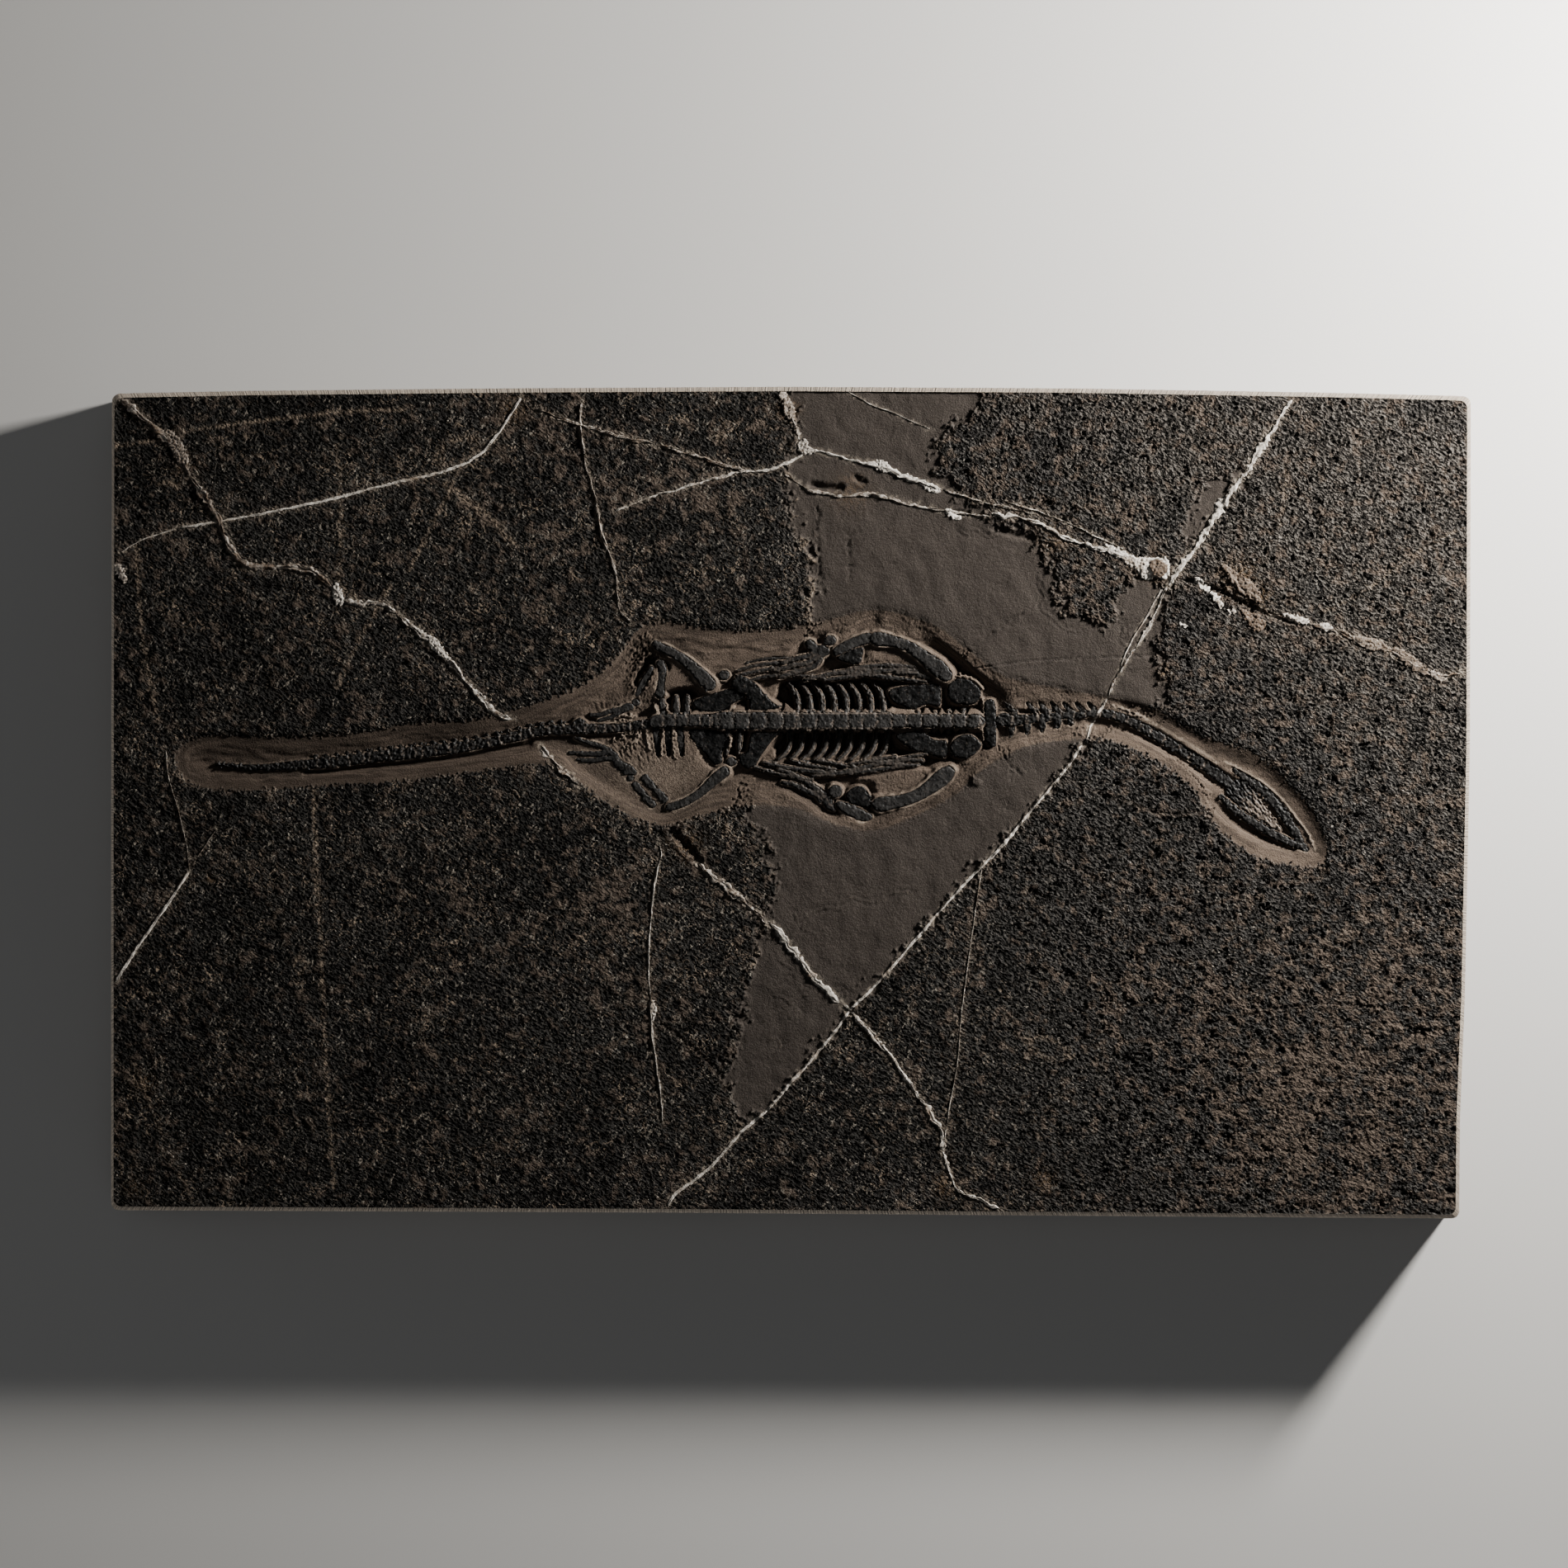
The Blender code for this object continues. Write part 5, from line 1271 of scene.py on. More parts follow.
# %% Lay the plates
CORE_TOP = 14.0 * MM
cell_across = (crust_across[:-1, :-1] + crust_across[1:, 1:]) / 2
cell_down = (crust_down[:-1, :-1] + crust_down[1:, 1:]) / 2
cell_trough = read(trough, cell_across, cell_down)
cell_plate = plate_labels(cell_across, cell_down)
cell_plate[cell_trough > -1.0] = -1
stone_pieces = []
for number, name in enumerate(PLATE_NAMES[0] + PLATE_NAMES[1]):
    owned = cell_plate == number
    cells, part = crop(owned)
    piece = relief_piece(name, crust_across[part], crust_down[part], crust_height[part], owned[cells],
                         CORE_TOP)
    stone_pieces.append(piece)
    print(f"{name}: {int(owned.sum())} cells")

# %% [markdown]
# ## The carved trough
# The trough needs finer cells than the crust, since the lips beside the bones are only three pixels
# wide. Its four sheets reach a little under the crust's edge. They part across the tail, behind the
# ribs and before the neck.

# %% Lay the trough
TROUGH_PARTS = {"trough_tail": (204, 700), "trough_hip": (700, 940), "trough_chest": (940, 1210),
                "trough_neck": (1210, 1614)}
TROUGH_ROWS = (728, 1062)
for name, (first, last) in TROUGH_PARTS.items():
    part = (slice(TROUGH_ROWS[0] - TOP, TROUGH_ROWS[1] - TOP + 1), slice(first - LEFT, last - LEFT + 1))
    keep = trough[part][:-1, :-1] > -5.0
    piece = relief_piece(name, ACROSS[part], DOWN[part], stone[part], keep, CORE_TOP)
    stone_pieces.append(piece)
    print(f"{name}: {int(keep.sum())} cells")

for piece in stone_pieces:
    spots = pixels_of(piece)
    for name, field in STONE_MASKS.items():
        add_mask(piece, name, read(field, *spots))

# %% [markdown]
# ## The sawn border
# Under the crust lies the body of the slab. Its sides are sawn, its top edge has a narrow rough
# chamfer that catches the light, and its underside is flat. A grid is wrapped round the slab like a
# band: each row of points is one step from the inside of the chamfer over the edge and down.

# %% Wrap the border
BORDER_STEP_PX = 3.0
SIDE_ROWS = 16
NO_INSET = dict.fromkeys(INSET, 0.0)


def border_loop(inset):
    """Points once round the slab, from its top left corner, clockwise in the photograph."""
    along = round(SLAB_LENGTH_PX / BORDER_STEP_PX)
    aside = round(SLAB_WIDTH_PX / BORDER_STEP_PX)
    sides = (((0, 0), (1, 0), along), ((1, 0), (1, 1), aside),
             ((1, 1), (0, 1), along), ((0, 1), (0, 0), aside))
    u, v = np.concatenate([np.linspace(*side, endpoint=False) for side in sides]).T
    across, down = slab_sheet(u, v, inset)
    return np.append(across, across[0]), np.append(down, down[0])


inner = border_loop(INSET)
outer = border_loop(NO_INSET)
count = len(inner[0])
chance = np.random.default_rng(41)
rough = np.convolve(np.tile(chance.standard_normal(count), 3), np.ones(3) / 3, 'same')[count:2 * count]
steps = [(0.0, CORE_TOP), (0.0, CRUST_LEVEL - 0.35 * MM), (0.5, CRUST_LEVEL - 0.62 * MM),
         (0.94, CRUST_LEVEL - 1.1 * MM)]
drop = CRUST_LEVEL - 1.25 * MM
steps += [(1.0, drop * (1 - index / SIDE_ROWS)) for index in range(SIDE_ROWS + 1)]
loops = []
for index, (out, level) in enumerate(steps):
    across = inner[0] + (outer[0] - inner[0]) * out
    down = inner[1] + (outer[1] - inner[1]) * out
    inward = np.abs(chance.standard_normal(count)) * (0.35 if 3 < index < len(steps) - 1 else 0.0)
    inward[-1] = inward[0]
    across = across + np.sign(MIDDLE_PX[0] - across) * inward
    down = down + np.sign(MIDDLE_PX[1] - down) * inward
    height = np.full(count, level)
    if index in (1, 2):
        height = height + 0.07 * MM * rough
        height[-1] = height[0]
    loops.append(np.stack([*place(across, down), height], axis=-1))
border = add_grid("sawn_border", np.array(loops))
way_round = np.tile(np.arange(count) * BORDER_STEP_PX * PIXEL, len(steps))
add_mask(border, "along", way_round, high=way_round.max())
bpy.ops.object.mode_set(mode='EDIT')
bpy.ops.mesh.select_all(action='SELECT')
bpy.ops.mesh.remove_doubles(threshold=0.001 * MM)
select_rims()
bpy.ops.mesh.fill_holes(sides=0)
bpy.ops.mesh.select_all(action='SELECT')
bpy.ops.mesh.normals_make_consistent(inside=False)
bpy.ops.object.mode_set(mode='OBJECT')
bpy.ops.object.shade_smooth_by_angle(angle=math.radians(32))
print(f"the border has {len(border.data.polygons)} faces")

# %% [markdown]
# ## Dressing the bones
# A bone gets a finer grid than the stone, about 0.14 mm, cut out just outside its outline. Its
# surface has fine grooves along its length and a few worn spots. The skirt ends at the underside of
# the solid that it replaces.

# %% Pale seams across the bones, where stone fills the joints
SEAMS = [[(joint, COLUMN_ROW - 11), (joint + 0.8, COLUMN_ROW), (joint - 0.5, COLUMN_ROW + 10)]
         for joint in TRUNK_JOINTS]
SEAMS += [[(890, 858), (900, 864), (912, 863)], [(905, 884), (920, 884), (934, 884)],
          [(938, 862), (948, 866), (951, 858)], [(961, 860), (966, 866), (964, 884)]]
SEAMS += [[(across, 866), (across + 1, 881)] for across in (803, 818, 833, 848, 861)]
TAIL_JOINTS = list(range(372, 650, 13)) + list(range(660, 790, 12))
NECK_JOINTS = (1228, 1244, 1258, 1272, 1287, 1302, 1317, 1333, 1350, 1366, 1381, 1396, 1412, 1428,
               1444, 1460)


def across_path(path, across, reach):
    """A short line square to a path, at one place across."""
    line = rounded(path)
    index = int(np.argmin(abs(line[:, 0] - across)))
    ahead = line[min(index + 2, len(line) - 1), :2] - line[max(index - 2, 0), :2]
    aside = np.array([-ahead[1], ahead[0]]) / max(math.hypot(*ahead), 1e-6)
    middle = line[index, :2]
    return [tuple(middle - aside * reach), tuple(middle + aside * reach)]


SEAMS += [across_path(TAIL_PATH, joint, 7) for joint in TAIL_JOINTS]
SEAMS += [across_path(NECK_PATH, joint, 8) for joint in NECK_JOINTS]
seam = blank()
for points in SEAMS:
    part, away = beside_line(points, 8, (0.25 * ragged, blank()), smooth=False)
    seam[part] = np.maximum(seam[part], bump_at(away, 1.25))
seam *= ramp(grain(53, 3, 12), -0.9, 0.7)

# %% Build every bone
BONE_STEP = 0.7
BONE_SLOTS = {name: "bone" for name in bones}
for name in bones:
    if name.startswith(("hand", "foot", "gastralia")) or name == "lower_jaw":
        BONE_SLOTS[name] = "thin_bone"
fine_grooves = grain(51, 2.2, 6)
worn = grain(52, 6, 24)
lumps = grain(57, 5, 12)
ridges = grain(58, 5, 16, stretch=3, lean=28)
rib_chance = 0.35 + 0.65 * ramp(grain(54, 4, 16), -0.8, 0.8)
skull_streaks = np.clip(grain(55, 2.4, 9, stretch=4, lean=-52), -1, 1)
rib_core = blank(9.0)
for name in ("trunk", "neck", "gastralia_upper", "gastralia_lower", "hand_upper", "hand_lower"):
    for rod in bones[name]["rods"]:
        if max(point[2] for point in rod) < 4.0:
            part = window(rod, 6)
            inside = rod_depth(rounded(rod, steps=3), ACROSS[part], DOWN[part])[0]
            deeper = np.minimum(rib_core[part], np.maximum(inside, 0))
            rib_core[part] = np.where(inside > -2, deeper, rib_core[part])
bone_pieces = {}
for name, bone in bones.items():
    across, down = fine_grid(bone_points(bone), 16, BONE_STEP)
    knobs = KNOBBLY_BONES.get(name, 0.0)
    shift = (0.35 + 3.0 * knobs) * read(ragged, across, down)
    height, depth, breadth = bone_surface(bone, across + 0.5 * shift, down - 0.5 * shift)
    height += (0.022 + 0.3 * knobs) * read(fine_grooves, across, down) + 0.03 * read(worn, across, down)
    height += knobs * read(lumps, across, down)
    if name in PLATE_BONES:
        height += 0.055 * read(ridges, across, down)
    if name == "skull":
        height += 0.12 * read(skull_streaks, across, down)
    height -= 0.13 * read(seam, across, down)
    wanted = depth > -1.7
    keep = wanted[:-1, :-1] | wanted[:-1, 1:] | wanted[1:, :-1] | wanted[1:, 1:]
    cells, part = crop(keep)
    piece = relief_piece(name + "_fossil", across[part], down[part], height[part], keep[cells],
                         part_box(name)[0][2])
    spots = pixels_of(piece)
    infill_and_rib_highlight = 0.90 * read(seam, *spots)
    # Painted highlight: a pale strip on the east side of each thin rod, the side that faces the lamp, joins
    # the real pale stone in the joints.
    if name in ("trunk", "neck") or name.startswith(("gastralia", "hand")):
        rib_east_highlight = ramp(-read(rib_core, spots[0] + 1.2, spots[1]), -1.5, -0.3) * read(rib_chance, *spots)
        rib_east_highlight *= ramp(abs(spots[1] - COLUMN_ROW), 11, 13)
        infill_and_rib_highlight = np.maximum(infill_and_rib_highlight, 0.30 * rib_east_highlight)
    if name == "trunk":
        rim_dust = bump_at(abs(abs(spots[1] - COLUMN_ROW) - 9.2), 1.1) * read(rib_chance, *spots)
        infill_and_rib_highlight = np.maximum(infill_and_rib_highlight, 0.8 * rim_dust * ramp(spots[0], 935, 950))
    if name == "skull":
        streaks = read(skull_streaks, *spots)
        at_snout = ramp(spots[0] + spots[1] + 16 * streaks, 2472, 2500)
        infill_and_rib_highlight = np.maximum(infill_and_rib_highlight, at_snout * (0.72 + 0.2 * streaks))
    add_mask(piece, "matrix", infill_and_rib_highlight)
    bone_pieces[name] = piece
total = sum(len(piece.data.polygons) for piece in bone_pieces.values())
print(f"{len(bone_pieces)} bones with {total} faces")

# %% [markdown]
# ## Calcite veins
# A vein is a ribbon of broken white slivers. The same relief tool makes it: its grid runs along the
# crest instead of across the slab. The width swells and pinches along the way, and where it pinches
# shut the ribbon dips under the stone, which leaves the gaps of the real vein.

# %% Build every vein
VEIN_STEP_PX = 1.2
VEIN_LANES = 9


def even_line(points, step):
    """A line through the points with an even distance between its samples."""
    line = rounded(points, steps=8)
    lengths = np.concatenate([[0], np.cumsum(np.hypot(*np.diff(line, axis=0).T))])
    stops = np.arange(0, lengths[-1], step)
    return np.stack([np.interp(stops, lengths, line[:, axis]) for axis in (0, 1)], axis=-1)


def wander(chance, count, length):
    """A random curve with lumps of a given length in samples, mean 0 and spread 1."""
    knots = chance.standard_normal(max(4, int(count / length) + 3))
    curve = np.interp(np.linspace(0, len(knots) - 1, count), np.arange(len(knots)), knots)
    return (curve - curve.mean()) / max(curve.std(), 1e-6)


STRAIGHT_VEINS = ("long_diagonal_low", "left_crossing", "left_crossing_end", "low_splinter", "left_rise",
                  "diagonal_twin", "thin_sweep")
vein_grit = grain(37, 2.6, 8)
vein_bed = np.maximum(stone, bone_top)
calm_surface = blur(vein_bed, 1.6)
vein_pieces = []
for number, (name, (half_width, rise, white, points)) in enumerate(VEINS.items()):
    chance = np.random.default_rng(100 + number)
    line = even_line(points, VEIN_STEP_PX)
    count = len(line)
    ahead = np.gradient(line, axis=0)
    aside = np.stack([-ahead[:, 1], ahead[:, 0]], axis=-1)
    aside = aside / np.hypot(*aside.T)[:, None]
    calm = 0.35 if name in STRAIGHT_VEINS else 1.0
    drift = calm * (0.7 * wander(chance, count, 14) + 0.4 * wander(chance, count, 5))
    line = line + aside * drift[:, None] * min(1.0, half_width / 2.5)
    swell = 0.85 + calm * (0.24 * wander(chance, count, 18) + 0.15 * wander(chance, count, 5))
    swell = np.clip(swell, 0.20 + 0.25 * white, 1.7)
    ends = ramp(np.arange(count), -1, 6) * ramp(np.arange(count)[::-1], -1, 6)
    half = half_width * swell * (0.35 + 0.65 * ends)
    lanes = np.linspace(-1, 1, VEIN_LANES)
    lane_wobble = np.stack([wander(chance, count, 9) for _ in lanes])
    jag = 1 + (0.10 + 0.16 * calm) * np.stack([wander(chance, count, 2.2), wander(chance, count, 2.2)])
    side = lanes[:, None] * np.where(lanes[:, None] < 0, jag[0], jag[1])
    across = line[:, 0] + aside[:, 0] * half * side
    down = line[:, 1] + aside[:, 1] * half * side
    stand = rise * np.clip(swell, 0.2, 1.1) * (1 - np.abs(lanes[:, None]) ** 5)
    height = read(calm_surface, across, down) + stand + (0.06 + 0.08 * (1 - white)) * lane_wobble
    height -= 0.30 * (np.abs(lanes[:, None]) > 0.99)
    height -= 0.35 * ramp(0.34 - swell, 0, 0.12) + 0.3 * (1 - ends)
    keep = np.ones((VEIN_LANES - 1, count - 1), dtype=bool)
    lowest = CRUST_LEVEL + (height.min() - 0.5) * MM
    piece = relief_piece("vein_" + name, across, down, height, keep, lowest)
    spots = pixels_of(piece)
    grit = ramp(read(vein_grit, *spots), 0.35, 1.0) * (1.25 - white) * (0.5 + 0.5 * calm)
    clean = white + 0.15 * read(lip_chance, *spots) - 1.1 * grit
    add_mask(piece, "white", clean)
    vein_pieces.append(piece)
print(f"{len(vein_pieces)} veins with {sum(len(piece.data.polygons) for piece in vein_pieces)} faces")

# %% [markdown]
# ## Calcite lumps
# Where veins meet, the calcite widens to small lumps and lenses. Each is a patch of grid cut to a
# drawn outline, with a dome on it, and the stone beside it stays as it is.

# %% Lumps: rise in millimetres, how white it is, and the outline
LUMPS = {
    "arch_meeting": (0.30, 0.55, [(966, 541), (971, 533), (977, 533), (982, 542), (990, 546), (982, 550),
        (972, 550)]),
    "arch_lens": (0.25, 1.0, [(1115, 582), (1124, 585), (1132, 589), (1140, 596), (1130, 596),
        (1120, 591)]),
    "arch_blob": (0.30, 0.9, [(1058, 560), (1066, 557), (1076, 563), (1084, 572), (1074, 573),
        (1062, 568)]),
    "sweep_sliver": (0.25, 1.0, [(1146, 617), (1153, 617), (1159, 623), (1166, 627), (1158, 630),
        (1149, 625)]),
    "sweep_end": (0.30, 0.95, [(1338, 659), (1352, 663), (1368, 671), (1385, 676), (1412, 676),
        (1417, 688), (1414, 701), (1400, 700), (1386, 702), (1378, 691), (1362, 681), (1346, 670)]),
    "sweep_crystal": (0.60, 0.02, [(1394, 680), (1410, 679), (1414, 690), (1406, 700), (1395, 694)]),
    "tail_lens": (0.28, 0.95, [(1553, 744), (1566, 745), (1584, 750), (1584, 756), (1570, 754)]),
    "shard_upper": (0.45, 0.03, [(1481, 686), (1490, 687), (1506, 698), (1522, 709), (1528, 730),
        (1512, 724), (1494, 708)]),
    "shard_lower": (0.25, 0.00, [(1504, 738), (1522, 744), (1534, 756), (1524, 766), (1512, 754)]),
    "shard_white_a": (0.30, 0.95, [(1446, 702), (1454, 701), (1467, 714), (1462, 717), (1452, 709)]),
    "shard_white_b": (0.30, 0.95, [(1466, 718), (1473, 719), (1482, 733), (1477, 735)]),
    "shard_white_c": (0.28, 0.90, [(1487, 738), (1498, 741), (1490, 745)]),
    "shard_white_d": (0.28, 0.95, [(1429, 755), (1439, 757), (1435, 761)]),
    "fleck_far_right": (0.26, 0.80, [(1598, 757), (1608, 755), (1614, 762), (1604, 765)]),
    "tail_crust_a": (0.30, 0.14, [(1638, 771), (1656, 772), (1674, 781), (1668, 789), (1652, 784)]),
    "tail_crust_b": (0.30, 0.06, [(1688, 785), (1706, 791), (1724, 806), (1717, 813), (1700, 802)]),
    "tail_crust_c": (0.28, 0.30, [(1732, 812), (1744, 816), (1753, 822), (1745, 827), (1736, 821)]),
    "drop_lens": (0.25, 0.95, [(788, 1214), (793, 1215), (795, 1226), (792, 1236), (788, 1228)]),
    "stem_brown": (0.45, 0.2, [(948, 485), (955, 480), (961, 490), (964, 502), (957, 508), (950, 498)]),
    "stem_cream": (0.30, 0.25, [(957, 510), (962, 508), (966, 518), (970, 528), (965, 526), (960, 518)]),
    "stem_top": (0.30, 0.3, [(944, 477), (952, 475), (953, 482), (946, 485)]),
    "steps_brown": (0.35, 0.18, [(198, 524), (208, 522), (216, 532), (224, 545), (228, 560), (219, 562),
        (209, 548)]),
    "steps_cream": (0.30, 0.75, [(404, 708), (411, 710), (416, 722), (414, 733), (406, 728)]),
    "edge_cream": (0.28, 0.40, [(139, 684), (146, 686), (153, 696), (152, 706), (144, 700)]),
    "steps_low_cream": (0.30, 0.85, [(516, 770), (526, 772), (536, 786), (545, 800), (536, 798),
        (524, 786)]),
}
LUMP_STEP = 0.8
for name, (rise, white, outline) in LUMPS.items():
    across, down = fine_grid(outline, 4, LUMP_STEP)
    shift = 0.25 * read(ragged, across, down)
    inside = inside_depth(rounded(outline, closed=True, steps=3), across + shift, down - shift)
    height = read(calm_surface, across, down) - 0.2 + (rise + 0.2) * dome((inside + 1) / 3)
    height += 0.07 * read(vein_grit, across, down)
    wanted = inside > -1.0
    keep = wanted[:-1, :-1] & wanted[:-1, 1:] & wanted[1:, :-1] & wanted[1:, 1:]
    lowest = CRUST_LEVEL + (height.min() - 0.5) * MM
    piece = relief_piece("lump_" + name, across, down, height, keep, lowest)
    grit = ramp(read(vein_grit, *pixels_of(piece)), 0.5, 1.2)
    add_mask(piece, "white", white - 0.5 * grit)
    vein_pieces.append(piece)
print(f"{len(LUMPS)} lumps of calcite")

# %% [markdown]
# ## Finishes: shared effects
# Several materials need the same fine speckle and the same small roughness of the surface. Each is
# a node group with its own inputs. The groups give back only colours and values, and the shader
# itself stays in each material.

# %% Node helpers and the shared groups
def feed(tree, socket, value):
    """Links a socket to another node's result, or sets it to a number or a colour."""
    if isinstance(value, bpy.types.NodeSocket):
        tree.links.new(value, socket)
    elif socket.type == 'RGBA':
        socket.default_value = (*value, 1.0)
    else:
        socket.default_value = value


def object_place(tree):
    """The place on the object in metres, from one shared node in each tree."""
    node = tree.nodes.get("Texture Coordinate") or tree.nodes.new("ShaderNodeTexCoord")
    return node.outputs["Object"]


def add_node(tree, kind, settings=None, **inputs):
    """Adds a node, sets its properties and its inputs, by name with spaces as underscores."""
    node = tree.nodes.new(kind)
    for key, value in (settings or {}).items():
        setattr(node, key, value)
    for key, value in inputs.items():
        feed(tree, node.inputs[key.replace("_", " ")], value)
    return node


def noise(tree, scale, detail=2.0, roughness=0.5, **more):
    """The value of a noise texture that is fixed to the object."""
    return add_node(tree, "ShaderNodeTexNoise", Vector=object_place(tree), Scale=scale, Detail=detail,
                    Roughness=roughness, **more).outputs[0]


def mix_colours(tree, share, first, second, blend='MIX'):
    """Mixes two colours by a share and returns the result's socket."""
    node = tree.nodes.new("ShaderNodeMix")
    node.data_type = 'RGBA'
    node.blend_type = blend
    for index, value in ((0, share), (6, first), (7, second)):
        feed(tree, node.inputs[index], value)
    return node.outputs[2]


def shade(tree, colour, factor):
    """A colour made lighter or darker by a factor."""
    return mix_colours(tree, 1.0, colour, factor, 'MULTIPLY')


def calculate(tree, operation, first, second=0.0, third=0.0):
    """A maths node's result."""
    node = tree.nodes.new("ShaderNodeMath")
    node.operation = operation
    for socket, value in zip(node.inputs, (first, second, third)):
        feed(tree, socket, value)
    return node.outputs[0]


def multiply(tree, value, factor, more=0.0):
    """A value times a factor, plus some more."""
    return calculate(tree, 'MULTIPLY_ADD', value, factor, more)


def remap(tree, value, low, high, new_low=0.0, new_high=1.0):
    """Stretches a value from one range to another, and holds it there."""
    return add_node(tree, "ShaderNodeMapRange", From_Min=low, From_Max=high, To_Min=new_low,
                    To_Max=new_high, Value=value).outputs[0]


def start_group(name, inputs, outputs):
    """An empty node group with named sockets."""
    group = bpy.data.node_groups.new(name, "ShaderNodeTree")
    for socket, kind, default in inputs:
        made = group.interface.new_socket(socket, in_out='INPUT', socket_type=kind)
        made.default_value = default
    for socket, kind in outputs:
        group.interface.new_socket(socket, in_out='OUTPUT', socket_type=kind)
    return group, group.nodes.new("NodeGroupInput"), group.nodes.new("NodeGroupOutput")


speckle, taken, given = start_group(
    "stone_speckle", [("Colour", "NodeSocketColor", (1, 1, 1, 1)), ("Scale", "NodeSocketFloat", 4000.0),
                      ("Strength", "NodeSocketFloat", 0.3)], [("Colour", "NodeSocketColor")])
dots = noise(speckle, taken.outputs["Scale"], 3.0, 0.65)
factor = multiply(speckle, multiply(speckle, dots, 4.0, -2.0), taken.outputs["Strength"], 1.0)
speckle.links.new(shade(speckle, taken.outputs["Colour"], factor), given.inputs["Colour"])

relief, taken, given = start_group(
    "fine_relief", [("Scale", "NodeSocketFloat", 3000.0), ("Roughness", "NodeSocketFloat", 0.6)],
    [("Height", "NodeSocketFloat")])
height = noise(relief, taken.outputs["Scale"], 4.0, taken.outputs["Roughness"])
relief.links.new(height, given.inputs["Height"])

strata, taken, given = start_group(
    "thin_layers", [("Spacing", "NodeSocketFloat", 2600.0)], [("Mask", "NodeSocketFloat")])
flat = add_node(strata, "ShaderNodeMapping", Vector=object_place(strata), Scale=(0.02, 0.02, 1.0))
bands = add_node(strata, "ShaderNodeTexNoise", Vector=flat.outputs[0],
                 Scale=taken.outputs["Spacing"]).outputs[0]
strata.links.new(remap(strata, bands, 0.38, 0.62), given.inputs["Mask"])

leaning, taken, given = start_group(
    "leaning_grit", [("Size", "NodeSocketFloat", 1300.0), ("Turn", "NodeSocketVector", (0, 0, 0)),
                     ("Stretch", "NodeSocketVector", (1, 1, 1))], [("Height", "NodeSocketFloat")])
turned = add_node(leaning, "ShaderNodeMapping", {"vector_type": 'TEXTURE'}, Vector=object_place(leaning),
                  Rotation=taken.outputs["Turn"], Scale=taken.outputs["Stretch"]).outputs[0]
grit = add_node(leaning, "ShaderNodeTexNoise", Vector=turned, Scale=taken.outputs["Size"], Detail=1.0,
                Distortion=0.4).outputs[0]
leaning.links.new(grit, given.inputs["Height"])
print("four shared effects: speckle, fine relief, thin layers and leaning grit")


# %% Start of a material
def start_material(name):
    """A new material, its tree and its shader."""
    material = bpy.data.materials.new(name)
    material.use_nodes = True
    tree = material.node_tree
    return material, tree, tree.nodes["Principled BSDF"]


def use_group(tree, group, **inputs):
    """The result of a shared group."""
    node = tree.nodes.new("ShaderNodeGroup")
    node.node_tree = group
    for key, value in inputs.items():
        feed(tree, node.inputs[key], value)
    return node.outputs[0]


def mask(tree, name):
    """A mask that the piece carries on its points."""
    return add_node(tree, "ShaderNodeAttribute", {"attribute_name": name}).outputs["Fac"]


def set_surface(tree, shader, colour, roughness, specular=0.5):
    """Gives the shader its colour, its roughness and the strength of its gloss."""
    feed(tree, shader.inputs["Base Color"], colour)
    feed(tree, shader.inputs["Roughness"], roughness)
    feed(tree, shader.inputs["Specular IOR Level"], specular)


def add_bump(tree, shader, height, distance, strength=1.0):
    """A bump of the given height field on the shader."""
    bump = add_node(tree, "ShaderNodeBump", Height=height, Distance=distance, Strength=strength)
    tree.links.new(bump.outputs[0], shader.inputs["Normal"])


# %% [markdown]
# ## The limestone
# One material covers crust, patch and trough, because they are one stone. It starts with the dark
# crust, then mixes in the pale ground, the brown-grey patch, the carved beige and the bloom along
# the veins, each by its mask. Fine noise breaks up every colour, and a bump adds sandy grain.

# %% Limestone colours and shader
DARK_CRUST = (0.0122, 0.0115, 0.0106)
WARM_CRUST = (0.0218, 0.0204, 0.0190)
GREY_CRUST = (0.0385, 0.0345, 0.0305)
GLINT_GREY = (0.150, 0.132, 0.110)
SPARKLE_WHITE = (0.220, 0.195, 0.165)
PALE_GROUND = (0.0760, 0.0595, 0.0475)
PATCH_BROWN = (0.043, 0.036, 0.031)
CARVED_BEIGE = (0.118, 0.090, 0.070)
CARVED_DARK = (0.066, 0.051, 0.040)
LIP_PALE = (0.230, 0.185, 0.145)
BLOOM_WHITE = (0.300, 0.260, 0.210)
STAIN_OCHRE = (0.120, 0.078, 0.044)
DUST_AND_GLINT_BEIGE = (0.200, 0.155, 0.115)

limestone, tree, shader = start_material("dark_limestone")
cloud = noise(tree, 60.0, 5.0, 0.6)
fleck = noise(tree, 900.0, 4.0, 0.6)
knobbly = mask(tree, "knobbly")
crust_colour = mix_colours(tree, knobbly, DARK_CRUST, WARM_CRUST)
crust_colour = mix_colours(tree, mask(tree, "grey"), crust_colour, GREY_CRUST)
crumbs = use_group(tree, leaning, Size=1650.0, Turn=(0.0, 0.0, math.radians(-32)), Stretch=(1.5, 1.0, 1.0))
on_left = calculate(tree, 'SUBTRACT', 1.0, knobbly)
